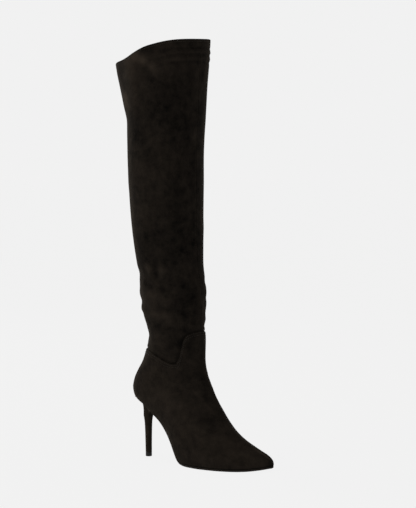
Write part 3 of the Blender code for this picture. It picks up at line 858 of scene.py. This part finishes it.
def suede(colours):
    """Suede of the panels and the heel's cover, lighter where its nap is brushed, with painted light and
    shade.
    """
    if "black_suede_nap" in bpy.data.materials:
        return bpy.data.materials["black_suede_nap"]
    finish, kit, inputs = principled("black_suede_nap", {
        "Specular IOR Level": 0.02, "Sheen Weight": 0.012, "Sheen Roughness": 0.3,
        "Sheen Tint": (1.0, 0.92, 0.78, 1.0)})
    nap = kit.add("ShaderNodeAttribute", attribute_name="nap").outputs["Fac"]
    # Painted sheen: the suede is painted lighter where its surface turns away from the eye
    facing = kit.add("ShaderNodeLayerWeight", {"Blend": 0.5}).outputs["Facing"]
    brushed_and_painted = kit.sum(nap, (kit.clamp(facing, PAINTED_SHEEN_FROM, 1.0), PAINTED_SHEEN))
    # Painted shade: the relief darkens the suede in creases, seams and troughs and lightens it on ridges
    relief = kit.add("ShaderNodeAttribute", attribute_name="relief").outputs["Fac"]
    apply_group(kit, inputs, nap_group(), {
        "Vector": object_place(kit), "Dark": (*colours.suede_dark, 1.0), "Light": (*colours.suede_light, 1.0),
        "Brushed": brushed_and_painted, "Relief": relief}, bump_distance=0.0006, bump_strength=0.55)
    return finish


def leather(name, colour, dark_share, grain, specular, bump):
    """Smooth leather in a colour, darker by a share in the dips of its grain."""
    if name in bpy.data.materials:
        return bpy.data.materials[name]
    finish, kit, inputs = principled(name, {"Specular IOR Level": specular})
    dark = [value * dark_share for value in colour]
    values = {"Vector": object_place(kit), "Dark": (*dark, 1.0), "Light": (*colour, 1.0), "Grain Size": grain}
    apply_group(kit, inputs, grain_group(), values, bump_distance=0.0003, bump_strength=bump)
    return finish


def lining_leather(colours):
    """Soft dull leather of the lining and the sock."""
    return leather("lining_leather", colours.lining, dark_share=0.5, grain=900.0,
                   specular=LINING_SHINE, bump=0.4)


def sole_leather(colours):
    """Hard dyed leather with a fine grain."""
    return leather("dressed_sole_leather", colours.sole, dark_share=0.55, grain=1500.0,
                   specular=SOLE_SHINE, bump=0.2)


def fine_finish(name, colour, specular, tone_at, span, rough, bump):
    """Finish that runs from half its colour to all of it over a span of its tone, with a fine relief."""
    if name in bpy.data.materials:
        return bpy.data.materials[name]
    finish, kit, inputs = principled(name, {"Specular IOR Level": specular})
    tone = tone_at(kit, object_place(kit))
    dark = [value * 0.5 for value in colour]
    kit.join(kit.blend(kit.clamp(tone, *span), (*dark, 1.0), (*colour, 1.0)), inputs["Base Color"])
    kit.join(kit.clamp(tone, *span, *rough), inputs["Roughness"])
    kit.join(kit.bump(tone, 0.0001, bump), inputs["Normal"])
    return finish


def thread(colours):
    """Twisted sewing thread with a little fuzz."""

    def twist(kit, at):
        wave = kit.add("ShaderNodeTexWave", {"Vector": at, "Scale": 900.0, "Distortion": 2.0},
                       bands_direction="DIAGONAL").outputs["Fac"]
        return kit.sum((wave, 0.6), (kit.noise(at, 3000.0, 2.0), 0.4))

    return fine_finish("black_thread", colours.thread, specular=0.12, tone_at=twist, span=(0.0, 1.0),
                       rough=(0.75, 0.55), bump=0.5)


def rubber(colours):
    """Moulded rubber, speckled and a little worn."""

    def wear(kit, at):
        return kit.sum((kit.noise(at, 1800.0, 3.0, 0.6), 0.5), (kit.noise(at, 240.0, 3.0, 0.6), 0.5))

    return fine_finish("lift_rubber_moulded", colours.rubber, specular=0.2, tone_at=wear, span=(0.3, 0.7),
                       rough=(0.5, 0.7), bump=0.4)


def length_setting(name, description, default):
    """Length that a user may change."""
    return bpy.props.FloatProperty(name=name, description=description, default=default, unit="LENGTH")


def colour_setting(name, description, default):
    """Colour that a user may change."""
    return bpy.props.FloatVectorProperty(
        name=name, description=description, default=default, subtype="COLOR", min=0.0, max=1.0)


class BootSizes(bpy.types.PropertyGroup):
    """Sizes of the leather, the stitches and the creases."""

    suede_thickness: length_setting("Suede thickness", "Thickness of the suede panels", 0.00095)
    lining_thickness: length_setting("Lining thickness", "Thickness of the lining leather", 0.0007)
    facing_depth: length_setting("Facing depth", "Depth of the suede facing inside the collar", 0.024)
    crease_depth: bpy.props.FloatProperty(
        name="Crease depth", description="Strength of the ankle creases, 1 for those of the worn-in boot",
        default=1.0, min=0.0, max=2.0, subtype="FACTOR")
    stitch_length: length_setting("Stitch length", "Length of one visible stitch", 0.0022)
    stitch_pitch: length_setting("Stitch pitch", "Distance from one stitch to the next", 0.0029)
    thread_radius: length_setting("Thread radius", "Radius of the sewing thread", 0.00024)


class BootColours(bpy.types.PropertyGroup):
    """Colours of the leathers, the thread and the floor, in linear light."""

    # The suede's tone runs between these two colours, for its mottle and nap and for painted light and shade
    suede_dark: colour_setting("Suede, darkest", "Nap brushed away from the light", (0.0026, 0.0023, 0.0021))
    suede_light: colour_setting("Suede, lightest", "Nap brushed toward the light", (0.0255, 0.0196, 0.0145))
    lining: colour_setting("Lining", "Lining leather", (0.014, 0.013, 0.0125))
    sole: colour_setting("Sole", "Dyed sole leather", (0.0165, 0.0130, 0.0102))
    thread: colour_setting("Thread", "Sewing thread", (0.0340, 0.0285, 0.0230))
    rubber: colour_setting("Lift", "Rubber of the lift under the heel", (0.0135, 0.0125, 0.0105))
    floor: colour_setting("Floor", "Pale floor and backdrop", (0.880, 0.880, 0.880))


def seat_piece(piece, finish, slot, *nodes):
    """Gives a finished piece its material and its place in the frame."""
    piece.data.materials.clear()
    piece.data.materials.append(finish)
    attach(piece, "root")
    if nodes:
        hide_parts(*nodes)


class BootOperator(bpy.types.Operator):
    """Shared reading of the settings."""

    bl_options = {"REGISTER"}

    def execute(self, context):
        self.build(context.scene.boot_sizes, context.scene.boot_colours)
        return {"FINISHED"}


class BOOT_OT_foot_panel(BootOperator):
    """Suede foot panel, from the toe to the seam round the ankle"""

    bl_idname = "boot.foot_panel"
    bl_label = "Foot Panel"

    def build(self, sizes, colours):
        turn, side = columns(COLUMN_STEP)
        downs = np.array(EDGE_STEPS[::-1])[:, None]
        top = station_at_height(turn, seam_height(turn) - seam_offset(turn, downs))
        between = np.linspace(0.0, 1.0, UNDER_SEAM_ROWS)[1:-1, None]
        middle = SEAT_BACK + (top[:1] - SEAT_BACK) * between
        station = np.concatenate((foot_stations(0.0, *FOOT_PANEL_ROWS, len(turn)), middle, top))
        points = surface(station, turn, side)
        here = around(turn, side)
        height = points[..., 2]
        on_leg = ease(station - SEAT_BACK + 1.0)
        from_edge = np.where(station > SEAT_BACK, -seam_distance(turn, height), FAR)
        from_edge[-1] = 0.0
        lift = np.where(points[..., 0] < FOOT_CREASES_TO, crease_lift(FOOT_CREASES, here, height), 0.0)
        lift = lift + centre_seam(180.0 - np.abs(here), height) * on_leg
        lift = lift + panel_wall(from_edge) - edge_roll(from_edge) - stitch_dents(from_edge, SEAM_ROWS_DOWN)
        # The suede is made darker in a line just above the sole
        dark_above_sole = SOLE_EDGE_DARKENING * hill(height - feather_height(points[..., 0]), SOLE_EDGE_DARK_REACH)
        # The nap attribute holds brushed nap together with painted light and shade
        nap = brushed_and_painted_light(FOOT_NAP_AND_PAINTED_LIGHT, here, height) - dark_above_sole * (1.0 - on_leg)
        # The relief attribute paints shade into the creases, the centre seam and the stitch dents
        piece = grid_object("foot_panel", points, lift, sizes.suede_thickness,
                            {"nap": nap, "relief": lift - panel_wall(from_edge)}, level_rim=True)
        seat_piece(piece, suede(colours), "suede", "upper")


class BOOT_OT_shaft_panel(BootOperator):
    """Suede shaft, from under the foot panel's edge to the collar"""

    bl_idname = "boot.shaft_panel"
    bl_label = "Shaft Panel"

    def build(self, sizes, colours):
        turn, side = columns(COLUMN_STEP)
        low = seam_height(turn) + seam_offset(turn, np.array(SEAM_STEPS)[:, None])
        topline = collar_height(turn, side)
        high = topline - np.array(EDGE_STEPS[::-1])[:, None]
        count = int((LEG_LENGTH - SEAM_STEPS[-1] - EDGE_STEPS[-1]) / ROW_STEP)
        steps = np.linspace(0.0, 1.0, count)[1:-1, None]
        height = np.concatenate((low, low[-1] + (high[0] - low[-1]) * steps, high))
        station = station_at_height(turn, height)
        points = surface(station, turn, side)
        here = around(turn, side)
        above_seam = seam_distance(turn, height)
        below_top = topline - height
        creases = crease_lift(ANKLE_CREASES, here, height) * sizes.crease_depth
        creases = creases * ease(above_seam / CREASE_CLEAR) + crease_lift(LEG_CREASES, here, height)
        ankle = ridges(ANKLE_SEAM, above_seam) - SHAFT_TUCK * ease(1.0 - above_seam / TUCK_REACH)
        bands = ridges(FACING_BANDS, below_top) * ease((BAND_GONE - np.abs(here)) / (BAND_GONE - BAND_FULL))
        seams = centre_seam(here, height) + centre_seam(180.0 - np.abs(here), height)
        lift = creases + ankle + bands + seams
        lift = lift - edge_roll(below_top) - stitch_dents(below_top, (TOPLINE_ROW,))
        # The relief attribute paints shade into the creases, the facing's bands and the seams
        piece = grid_object("shaft_panel", points, lift, sizes.suede_thickness,
                            {"nap": brushed_and_painted_light(SHAFT_NAP_AND_PAINTED_LIGHT, here, height),
                             "relief": creases + BAND_PAINTED_SHADE * bands + seams + SEAM_PAINTED_SHADE * ankle})
        seat_piece(piece, suede(colours), "suede", "shaft")


def foot_stations(first, toe_rows, rows, count):
    """Stations along the foot for a number of columns, closer together at the toe."""
    toe = np.linspace(first, TOE_END, toe_rows)[:-1]
    line = np.concatenate((toe, np.linspace(TOE_END, SEAT_BACK, rows)))
    return np.repeat(line[:, None], count, axis=1)


def panel_wall(from_edge):
    """How far the foot panel's outside stands off the last, by distance from its edge."""
    return WALL - SEAM_THINNING * hill(from_edge, SEAM_THIN_REACH)


def edge_roll(from_edge):
    """How far a turned edge falls away, by distance from it."""
    inside = np.clip(1.0 - from_edge / (2 * EDGE_ROLL), 0.0, 1.0)
    return EDGE_ROLL * (1.0 - np.sqrt(1.0 - inside ** 2))


def stitch_dents(from_edge, rows):
    """Shallow channels that rows of stitches pull into the leather."""
    return ridges([Ridge(row, STITCH_DENT_WIDTH, STITCH_DENT) for row in rows], from_edge)


class BOOT_OT_collar_facing(BootOperator):
    """Suede facing turned in round the inside of the collar"""

    bl_idname = "boot.collar_facing"
    bl_label = "Collar Facing"

    def build(self, sizes, colours):
        turn, side = columns(COLUMN_STEP)
        even = np.linspace(sizes.facing_depth / MM, EDGE_STEPS[-1], FACING_ROWS)[:-1]
        downs = np.concatenate((even, EDGE_STEPS[::-1]))[:, None]
        height = collar_height(turn, side) - downs
        station = station_at_height(turn, height)
        points = surface(station, turn, side)
        here = around(turn, side)
        inset = sizes.suede_thickness / MM + FACING_GAP
        creases = crease_lift(LEG_CREASES, here, height)
        lift = creases - inset - edge_roll(downs) * FACING_ROLL
        thickness = sizes.lining_thickness + FACING_THICKER * MM
        # The relief attribute paints shade into the creases
        piece = grid_object("collar_facing", points, lift, thickness, {"nap": 0.0, "relief": creases})
        seat_piece(piece, suede(colours), "suede")


class BOOT_OT_lining(BootOperator):
    """Lining leather of the foot and the shaft, from the lasting edge to the facing"""

    bl_idname = "boot.lining"
    bl_label = "Lining"

    def build(self, sizes, colours):
        turn, side = columns(2 * COLUMN_STEP)
        top = collar_height(turn, side) - sizes.facing_depth / MM + LINING_OVERLAP
        seat_top = surface(float(SEAT_BACK), turn, 1.0)[..., 2]
        count = int(LEG_LENGTH / LINING_ROW_STEP)
        height = seat_top + (top - seat_top) * np.linspace(0.0, 1.0, count)[1:, None]
        leg = station_at_height(turn, height)
        station = np.concatenate((foot_stations(1.0, *LINING_ROWS, len(turn)), leg))
        points = surface(station, turn, side)
        here = around(turn, side)
        above_seam = seam_distance(turn, points[..., 2])
        on_leg = ease((station - SEAT_BACK) / 2.0)
        creases = crease_lift(ANKLE_CREASES, here, points[..., 2]) * sizes.crease_depth
        creases = creases * ease(above_seam / CREASE_CLEAR) + crease_lift(LEG_CREASES, here, points[..., 2])
        inset = sizes.suede_thickness / MM + LINING_GAP
        tuck = LINING_TUCK * ease(1.0 - above_seam / TUCK_REACH)
        off_last = (WALL + tuck) * ease((-above_seam - SEAM_THIN_REACH - 1.0) / TUCK_REACH)
        lift = creases * on_leg - inset - tuck + off_last
        piece = grid_object("lining", points, lift, sizes.lining_thickness, level_rim=True)
        seat_piece(piece, lining_leather(colours), "insole_leather")


class BOOT_OT_heel(BootOperator):
    """Slim heel covered in suede, spreading to the seat, with a hollowed breast"""

    bl_idname = "boot.heel"
    bl_label = "Covered Heel"

    def build(self, sizes, colours):
        first = station_of(BREAST_AT)
        loop = feather_loop(first, float(SEAT_BACK), SEAT_MARGIN, FINE_STEP)
        shares = np.linspace(0.0, 1.0, BREAST_STEPS)[1:-1]
        seat = np.array([*loop, *(loop[-1] + (loop[0] - loop[-1]) * share for share in shares)])
        turns = np.arctan2(seat[:, 1], seat[:, 0] - HEEL_TIP_AT)
        on_breast = np.zeros(len(seat))
        on_breast[len(loop):] = np.sin(math.pi * shares)
        heights = np.linspace(STEM[0].height, STEM[-1].height, STEM_STEPS)
        rings = [stem_ring(height, turns) for height in heights]
        start = rings[-1]
        seat_z = feather_height(seat[:, 0]) - SEAT_MARGIN
        for rise in np.linspace(0.0, 1.0, SPREAD_STEPS)[1:]:
            spread = rise ** SPREAD_POWER
            flat = start[:, :2] + (seat - start[:, :2]) * spread
            hollow = BREAST_HOLLOW * on_breast * math.sin(math.pi * rise ** HOLLOW_POWER)
            upright = start[:, 2] + (seat_z - start[:, 2]) * rise
            rings.append(np.column_stack((flat[:, 0] - hollow, flat[:, 1], upright)))
        piece = rings_object("heel_cover", rings)
        brushed_and_painted = piece.data.attributes.new("nap", "FLOAT", "POINT")
        brushed_and_painted.data.foreach_set("value", np.full(len(piece.data.vertices), HEEL_NAP, np.float32))
        seat_piece(piece, suede(colours), "suede", "heel")


def stem_ring(height, turns):
    """Ring of the heel's stem at a height, by turn from straight ahead in radians."""
    heights, *others = zip(*STEM)
    back, front, half_width = (smooth(heights, column, height) for column in others)
    reach = np.where(np.cos(turns) > 0.0, front, -back)
    return np.column_stack((HEEL_TIP_AT + reach * np.cos(turns), half_width * np.sin(turns),
                            np.full(len(turns), float(height))))


class BOOT_OT_top_lift(BootOperator):
    """Rubber lift under the heel, with its edges eased"""

    bl_idname = "boot.top_lift"
    bl_label = "Top Lift"

    def build(self, sizes, colours):
        turns = np.linspace(0.0, 2 * math.pi, LIFT_SIDES + 1)[:-1]
        middle = np.array((HEEL_TIP_AT, 0.0))
        rings = []
        for height, inset in LIFT_EDGE:
            ring = stem_ring(STEM[0].height, turns)
            out = ring[:, :2] - middle
            ring[:, :2] = middle + out * (1.0 - inset / np.linalg.norm(out, axis=1, keepdims=True))
            ring[:, 2] = height
            rings.append(ring)
        piece = rings_object("top_lift", rings)
        seat_piece(piece, rubber(colours), "lift_rubber", "top_piece")


class BOOT_OT_sole(BootOperator):
    """Thin leather sole with a dressed edge, from the toe to the heel's breast"""

    bl_idname = "boot.sole"
    bl_label = "Sole"

    def build(self, sizes, colours):
        last = station_of(BREAST_AT + GAP)
        rings = []
        for edge, face in ((SOLE_LOWER_EDGE, sole_bottom), (SOLE_UPPER_EDGE, feather_height)):
            for rise, inset in edge:
                loop = feather_loop(0.0, last, SOLE_MARGIN - inset, SOLE_STEP, SOLE_ACROSS)
                rings.append(np.column_stack((loop, face(loop[:, 0]) + rise)))
        piece = rings_object("sole_unit", rings, strips=True)
        seat_piece(piece, sole_leather(colours), "sole_leather", "outsole")


def sole_bottom(at):
    """Height of the sole's underside along the foot."""
    waist = ease((MIDDLE - at) / (MIDDLE / 2))
    return np.maximum(0.0, feather_height(at) - SOLE_FORE - (SOLE_WAIST - SOLE_FORE) * waist)


class BOOT_OT_insole_sock(BootOperator):
    """Insole with its leather sock, which closes the inside of the foot"""

    bl_idname = "boot.insole_sock"
    bl_label = "Insole"

    def build(self, sizes, colours):
        rings = []
        for share, inset in INSOLE_EDGE:
            loop = feather_loop(*INSOLE_STATIONS, -inset - 2 * GAP, FINE_STEP, INSOLE_ACROSS)
            height = feather_height(loop[:, 0]) + GAP + INSOLE_THICKNESS * share
            rings.append(np.column_stack((loop, height)))
        piece = rings_object("insole_sock", rings, strips=True)
        seat_piece(piece, lining_leather(colours), "insole_leather", "insole")


def stitch_tree():
    """Geometry nodes that lay short rounds of thread end to end along a line."""
    if "stitch_row" in bpy.data.node_groups:
        return bpy.data.node_groups["stitch_row"]
    tree = bpy.data.node_groups.new("stitch_row", "GeometryNodeTree")
    numbers = dict.fromkeys(("Stitch Length", "Stitch Pitch", "Thread Radius", "Sway"), "Float")
    for key, kind in {"Geometry": "Geometry", **numbers, "Seed": "Int", "Material": "Material"}.items():
        tree.interface.new_socket(key, in_out="INPUT", socket_type="NodeSocket" + kind)
    tree.interface.new_socket("Geometry", in_out="OUTPUT", socket_type="NodeSocketGeometry")
    kit = MaterialKit(tree)
    given = kit.add("NodeGroupInput").outputs
    put = kit.add("NodeGroupOutput").inputs
    line = kit.add("GeometryNodeMeshToCurve", {"Mesh": given["Geometry"]}).outputs[0]
    dots = kit.add("GeometryNodeCurveToPoints", {"Curve": line, "Length": given["Stitch Pitch"]},
                   mode="LENGTH").outputs
    ball = kit.add("GeometryNodeMeshUVSphere", {"Segments": STITCH_SIDES, "Rings": STITCH_RINGS}).outputs[0]
    half = kit.add("ShaderNodeMath", {0: given["Stitch Length"], 1: 0.5}, operation="MULTIPLY").outputs[0]
    radius = given["Thread Radius"]
    size = kit.add("ShaderNodeCombineXYZ", {0: radius, 1: radius, 2: half}).outputs[0]
    less = kit.add("ShaderNodeMath", {0: given["Sway"], 1: -1.0}, operation="MULTIPLY").outputs[0]
    sway = kit.add("FunctionNodeRandomValue", data_type="FLOAT_VECTOR")
    for key, value in {"Min": less, "Max": given["Sway"], "Seed": given["Seed"]}.items():
        kit.join(value, sway.inputs[key])
    laid = kit.add("GeometryNodeInstanceOnPoints", {
        "Points": dots["Points"], "Instance": ball, "Rotation": dots["Rotation"], "Scale": size}).outputs[0]
    turned = kit.add("GeometryNodeRotateInstances", {"Instances": laid, "Rotation": sway.outputs[0]})
    real = kit.add("GeometryNodeRealizeInstances", {0: turned.outputs[0]}).outputs[0]
    done = kit.add("GeometryNodeSetMaterial", {"Geometry": real, "Material": given["Material"]})
    kit.join(done.outputs[0], put["Geometry"])
    return tree


def stitch_object(name, paths, sizes, finish, seed):
    """Rows of stitches along closed lines of points in millimetres."""
    spots, edges = [], []
    for path in paths:
        start, count = len(spots), len(path)
        spots.extend(place(path).tolist())
        edges.extend((start + index, start + (index + 1) % count) for index in range(count))
    mesh = bpy.data.meshes.new(name)
    mesh.from_pydata(spots, edges, [])
    piece = add_object(name, mesh)
    row = piece.modifiers.new("stitches", "NODES")
    row.node_group = stitch_tree()
    values = {"Stitch Length": sizes.stitch_length, "Stitch Pitch": sizes.stitch_pitch,
              "Thread Radius": sizes.thread_radius, "Sway": STITCH_SWAY, "Seed": seed, "Material": finish}
    for item in row.node_group.interface.items_tree:
        if item.in_out == "INPUT" and item.name in values:
            row[item.identifier] = values[item.name]
    flatten(piece)
    piece.data.shade_smooth()
    return piece


def row_on_leg(from_edge, edge_height, offset, lift_at):
    """Closed line of points on the leg, a distance down from an edge and out by the leather's lift."""
    turn, side = columns(COLUMN_STEP)
    turn, side = turn[:-1], side[:-1]
    height = edge_height(turn, side) - offset(turn, from_edge)
    station = station_at_height(turn, height)
    points = surface(station, turn, side)
    up = surface(station + UP_REACH, turn, side) - surface(station - UP_REACH, turn, side)
    along = np.roll(points, -1, axis=0) - np.roll(points, 1, axis=0)
    out = np.cross(along, up)
    out = out / np.linalg.norm(out, axis=-1, keepdims=True)
    centre = points.mean(axis=0)
    away = np.sign(np.sum(out * (points - centre), axis=-1, keepdims=True))
    return points + out * away * lift_at(around(turn, side), height)[:, None]


class BOOT_OT_stitches(BootOperator):
    """Stitches round the collar and along both sides of the ankle seam"""

    bl_idname = "boot.stitches"
    bl_label = "Stitches"

    def build(self, sizes, colours):
        finish = thread(colours)

        def collar_lift(here, height):
            return crease_lift(LEG_CREASES, here, height) - THREAD_OUT

        def straight_down(turn, distance):
            return distance

        def seam_edge(turn, side):
            return seam_height(turn)

        def seam_lift(down, here, height):
            return crease_lift(FOOT_CREASES, here, height) + panel_wall(down) + THREAD_OUT

        topline = row_on_leg(TOPLINE_ROW, collar_height, straight_down, collar_lift)
        seams = [row_on_leg(down, seam_edge, seam_offset, partial(seam_lift, down))
                 for down in SEAM_ROWS_DOWN]
        for name, rows, seed in (("topline_stitches", [topline], 3), ("ankle_seam_stitches", seams, 7)):
            seat_piece(stitch_object(name, rows, sizes, finish, seed), finish, "suede")


class BOOT_OT_stage(BootOperator):
    """Pale floor, soft studio light and the camera"""

    bl_idname = "boot.stage"
    bl_label = "Stage"

    def build(self, sizes, colours):
        floor_piece(colours)
        studio_world(colours)
        for light in STUDIO_LIGHTS:
            data = bpy.data.lights.new(light.name, "AREA")
            data.shape = "DISK"
            data.size = light.size
            data.energy = light.power
            data.color = LIGHT_TINT
            aimed_object(light.name, data, light.at, light.toward)
        data = bpy.data.cameras.new("camera")
        data.lens = CAMERA_LENS
        data.clip_end = CAMERA_SEES
        bpy.context.scene.camera = aimed_object("camera", data, CAMERA_AT, CAMERA_LOOKS_AT)
        view = bpy.context.scene.view_settings
        view.view_transform = "Standard"
        view.look = "None"
        view.exposure = 0.0
        view.gamma = 1.0


def floor_piece(colours):
    """Round pale floor that glows in its own tone and fades out toward its rim."""
    turns = np.linspace(0.0, 2 * math.pi, FLOOR_SIDES + 1)[:-1]
    rim = np.column_stack((np.cos(turns), np.sin(turns), 0 * turns)) * FLOOR_RADIUS
    mesh = bpy.data.meshes.new("floor")
    mesh.from_pydata((rim - (0.0, 0.0, FLOOR_DROP)).tolist(), [], [tuple(range(FLOOR_SIDES))])
    floor = add_object("floor", mesh)
    tone = (*colours.floor, 1.0)
    finish, kit, inputs = principled("pale_floor", {
        "Base Color": tone, "Roughness": 1.0, "Specular IOR Level": 0.0})
    nodes = finish.node_tree.nodes
    glow = kit.add("ShaderNodeEmission", {"Color": tone, "Strength": FLOOR_GLOW}).outputs[0]
    plain = nodes["Principled BSDF"].outputs[0]
    even = kit.mix_shaders(FLOOR_GLOW_SHARE, plain, glow)
    clear = kit.add("ShaderNodeBsdfTransparent", {"Color": (1.0, 1.0, 1.0, 1.0)}).outputs[0]
    from_middle = kit.add("ShaderNodeVectorMath", {0: object_place(kit)}, operation="LENGTH").outputs["Value"]
    away = kit.clamp(from_middle, *(share * FLOOR_RADIUS for share in FLOOR_FADE))
    kit.join(kit.mix_shaders(away, even, clear), nodes["Material Output"].inputs["Surface"])
    mesh.materials.append(finish)


def studio_world(colours):
    """Backdrop in the floor's own tone, which lights the boot a little less than it shows."""
    world = bpy.data.worlds.new("studio_backdrop")
    world.use_nodes = True
    kit = MaterialKit(world.node_tree)
    shown = world.node_tree.nodes["Background"]
    shown.inputs["Color"].default_value = (*colours.floor, 1.0)
    lit = kit.add("ShaderNodeBackground", {"Color": WORLD_TINT, "Strength": WORLD_LIGHT})
    seen = kit.add("ShaderNodeLightPath").outputs["Is Camera Ray"]
    both = kit.mix_shaders(seen, lit.outputs[0], shown.outputs[0])
    kit.join(both, world.node_tree.nodes["World Output"].inputs["Surface"])
    bpy.context.scene.world = world


def aimed_object(name, data, at, toward):
    """Lamp or camera at one place that looks toward another."""
    piece = add_object(name, data)
    piece.location = at
    piece.rotation_euler = (Vector(toward) - Vector(at)).to_track_quat("-Z", "Y").to_euler()
    return piece


class BOOT_PT_panel(bpy.types.Panel):
    """Sidebar panel with the boot's sizes, colours and pieces"""

    bl_label = "Thigh High Boot"
    bl_idname = "BOOT_PT_panel"
    bl_space_type = "VIEW_3D"
    bl_region_type = "UI"
    bl_category = "Boot"

    def draw(self, context):
        for settings in (context.scene.boot_sizes, context.scene.boot_colours):
            box = self.layout.box()
            for key in settings.bl_rna.properties.keys():
                if key not in ("rna_type", "name"):
                    box.prop(settings, key)
        for operator in OPERATORS:
            self.layout.operator(operator.bl_idname)


OPERATORS = (
    BOOT_OT_foot_panel,
    BOOT_OT_shaft_panel,
    BOOT_OT_collar_facing,
    BOOT_OT_lining,
    BOOT_OT_heel,
    BOOT_OT_top_lift,
    BOOT_OT_sole,
    BOOT_OT_insole_sock,
    BOOT_OT_stitches,
    BOOT_OT_stage,
)
CLASSES = (BootSizes, BootColours, *OPERATORS, BOOT_PT_panel)


def register():
    """Adds the settings, the operators and the panel."""
    for cls in CLASSES:
        bpy.utils.register_class(cls)
    bpy.types.Scene.boot_sizes = bpy.props.PointerProperty(type=BootSizes)
    bpy.types.Scene.boot_colours = bpy.props.PointerProperty(type=BootColours)


def unregister():
    """Takes them away again."""
    del bpy.types.Scene.boot_sizes
    del bpy.types.Scene.boot_colours
    for cls in reversed(CLASSES):
        bpy.utils.unregister_class(cls)


def main():
    """Adds the settings, the operators and the panel, and builds every piece in order."""
    register()
    for operator in OPERATORS:
        getattr(bpy.ops.boot, operator.bl_idname.partition(".")[2])()


if __name__ == "__main__":
    main()
